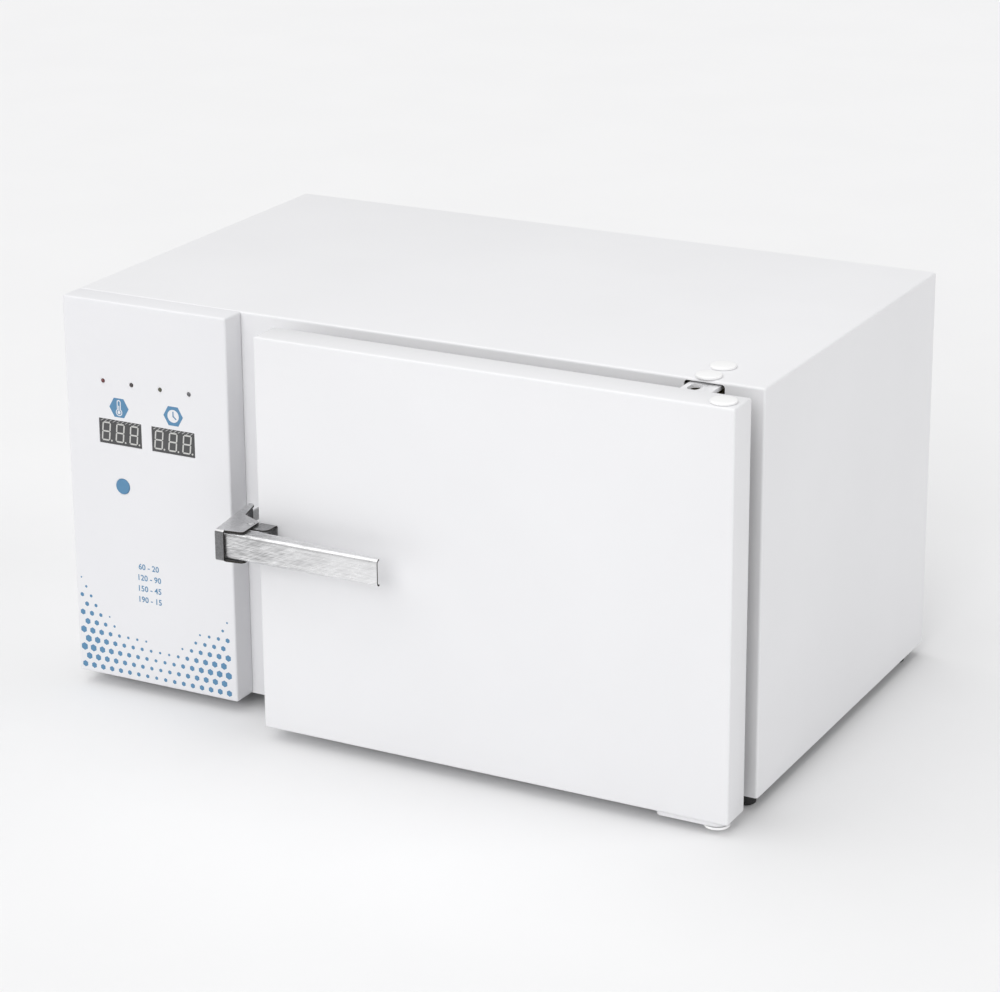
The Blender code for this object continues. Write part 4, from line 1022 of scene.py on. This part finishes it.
rearSizes = {"sheet": (1.5, 570.5, 0, 306.5), "y": (333.5, 334.7), "ventLeft": 40, "ventRight": 110, "ventTop": 248,
             "ventPitch": 9, "ventHeight": 3, "rows": 6, "inlet": (69.7, 98.3, 41.7, 62.3),
             "cross": (336.35, 1.5, 0.35, 0.65),
             "screws": ((14, 10), (286, 10), (558, 10), (14, 296), (286, 296), (558, 296))}
inletSizes = {"flange": (60, 108, 38, 66), "y": (335.3, 338.3), "body": (70, 98, 42, 62), "bodyBack": 311.3,
              "recess": (72, 96, 44, 60), "recessDepth": 16, "corner": 5, "pins": ((77, 50.4), (84, 53.6), (91, 50.4)),
              "pin": (2, 4), "pinDepth": 12, "screws": ((64.2, 52), (103.8, 52)), "cross": (338.35, 1.6, 0.3, 0.95)}


def makeScrews(name, profile, places, cross=None):  # the screws of one sheet as one piece
    screws = []
    for x, z in places:
        screw = spun("screw", profile, (x, 0, z), "Y", 24)
        if cross:
            cutAway(screw, *crossCut((x, cross[0], z), *cross[1:]))
        screws.append(screw)
    finishPiece(gather(name, screws), "cabinet", "stainless", hookSteel)


def makeRearSheet(sizes):
    front, back = sizes["y"]
    half = sizes["ventHeight"] / 2
    holes = []
    for row in range(sizes["rows"]):
        z = sizes["ventTop"] + half - row * sizes["ventPitch"]
        holes.append(arcPoints(sizes["ventRight"] - half, z, half, -90, 90, 8)
                     + arcPoints(sizes["ventLeft"] + half, z, half, 90, 270, 8))
    holes.append(plainBox(*sizes["inlet"]))
    sheet = standing("rearSheet", roundBox(*sizes["sheet"], 1), front, back, holes)
    finishPiece(soften(sheet, 0.2), "cabinet", "white_paint", sidePaint, "rear_panel")
    makeScrews("rearScrews", [(0, back + 1.7), (1.4, back + 1.65), (2.4, back + 1.3), (2.9, back + 0.7),
                              (2.9, back - 0.02), (0, back - 0.02)], sizes["screws"], sizes["cross"])


def chamfered(left, right, low, high, corner):  # the inlet's shape: two corners cut off at the top
    return [(left, low), (right, low), (right, high - corner), (right - corner, high), (left + corner, high),
            (left, high - corner)]


def makeInlet(sizes):
    front, back = sizes["y"]
    inlet = soften(standing("mainsInlet", roundBox(*sizes["flange"], 3), front, back), 0.5, 3)
    left, right, low, high = sizes["body"]
    fuse(inlet, block("inletBody", (left, sizes["bodyBack"], low), (right, front + 1, high)))
    floor = back - sizes["recessDepth"]
    cutAway(inlet, standing("recessCut", chamfered(*sizes["recess"], sizes["corner"]), floor, back + 4))
    seat = [(0, back + 2), (3.0, back + 2), (3.0, back), (1.6, back - 1.4), (1.6, front - 2), (0, front - 2)]
    for x, z in sizes["screws"]:
        cutAway(inlet, spun("screwCut", seat, (x, 0, z), "Y", 24))
    finishPiece(inlet, "cabinet", "black_plastic", blackPlastic, "mains_inlet")
    wide, tall = (length / 2 for length in sizes["pin"])
    tip = floor + sizes["pinDepth"]
    pins = [soften(block("inletPin", (x - wide, floor + 0.05, z - tall), (x + wide, tip, z + tall)), 0.4)
            for x, z in sizes["pins"]]
    finishPiece(gather("inletPins", pins), "cabinet", "stainless", hookSteel)
    makeScrews("inletScrews", [(0, back - 0.15), (2.75, back - 0.2), (2.8, back - 0.35), (1.4, back - 1.5),
                               (0, back - 1.5)], sizes["screws"], sizes["cross"])


makeRearSheet(rearSizes)
makeInlet(inletSizes)
print("rear side made")

# base pan and the latch's keeper

baseSizes = {"low": (1.5, 1.5, 0), "high": (570.5, 333.2, 14), "bend": 1.8, "sheet": 1.2, "boltDepth": 8,
             "ventCount": 8, "ventLeft": 60, "ventPitch": 14, "ventY": 250, "ventReach": 15, "ventHalf": 2.5}
strikeSizes = {"left": 164.0, "right": 177.0, "sheet": 1.5, "reach": -34, "wall": -0.3, "z": 154.8, "half": 10.2,
               "legHalf": 4.5, "screwRise": 6}


def makeBase(sizes):
    base = block("basePan", sizes["low"], sizes["high"])
    openSides(base, (0, 0, 1))
    bendEdges(base, sizes["bend"])
    wall(base, sizes["sheet"])
    cutters = [rod("boltCut", (x, y, 0), radius, sizes["boltDepth"], sides=24) for x, y, radius in armSizes["bolts"]]
    for i in range(sizes["ventCount"]):
        x = sizes["ventLeft"] + i * sizes["ventPitch"]
        vent = slotOutline(x, sizes["ventY"], sizes["ventReach"], sizes["ventHalf"], 8)
        cutters.append(flatOutline("baseVent", vent, -3, 4))
    cutAway(base, gather("baseCuts", cutters))
    finishPiece(base, "cabinet", "zinc_sheet", zincSheet, "base_pan")


def makeStrike(sizes):
    left, right, z, half, sheet, wallY = (sizes[key] for key in ("left", "right", "z", "half", "sheet", "wall"))
    outline = roundCorners([(left, z - half, 0.3), (right, z - half, 2), (right, z + half, 2), (left, z + half, 0.3)])
    base = standing("latchStrike", outline, wallY - sheet, wallY)
    leg = block("strikeLeg", (left, sizes["reach"], z - sizes["legHalf"]),
                (left + sheet, wallY - sheet / 2, z + sizes["legHalf"]))
    tipY = spot(0, sizes["reach"], 0).y
    bendEdges(leg, 2, 4, lambda edge: all(abs(point.co.y - tipY) < 0.0001 for point in edge.verts)
              and abs(edge.verts[0].co.z - edge.verts[1].co.z) < 0.0001)
    fuse(base, leg)
    finishPiece(soften(base, 0.2), "cabinet", "stainless", hookSteel, "latch_strike")
    front, x = wallY - sheet, (left + sheet + right) / 2 + 0.6
    makeScrews("strikeScrews", [(0, front - 1.1), (1.3, front - 1.0), (2.0, front - 0.5), (2.2, front + 0.05),
                                (0, front + 0.05)], [(x, z - sizes["screwRise"]), (x, z + sizes["screwRise"])])


makeBase(baseSizes)
makeStrike(strikeSizes)
print("base and keeper made")
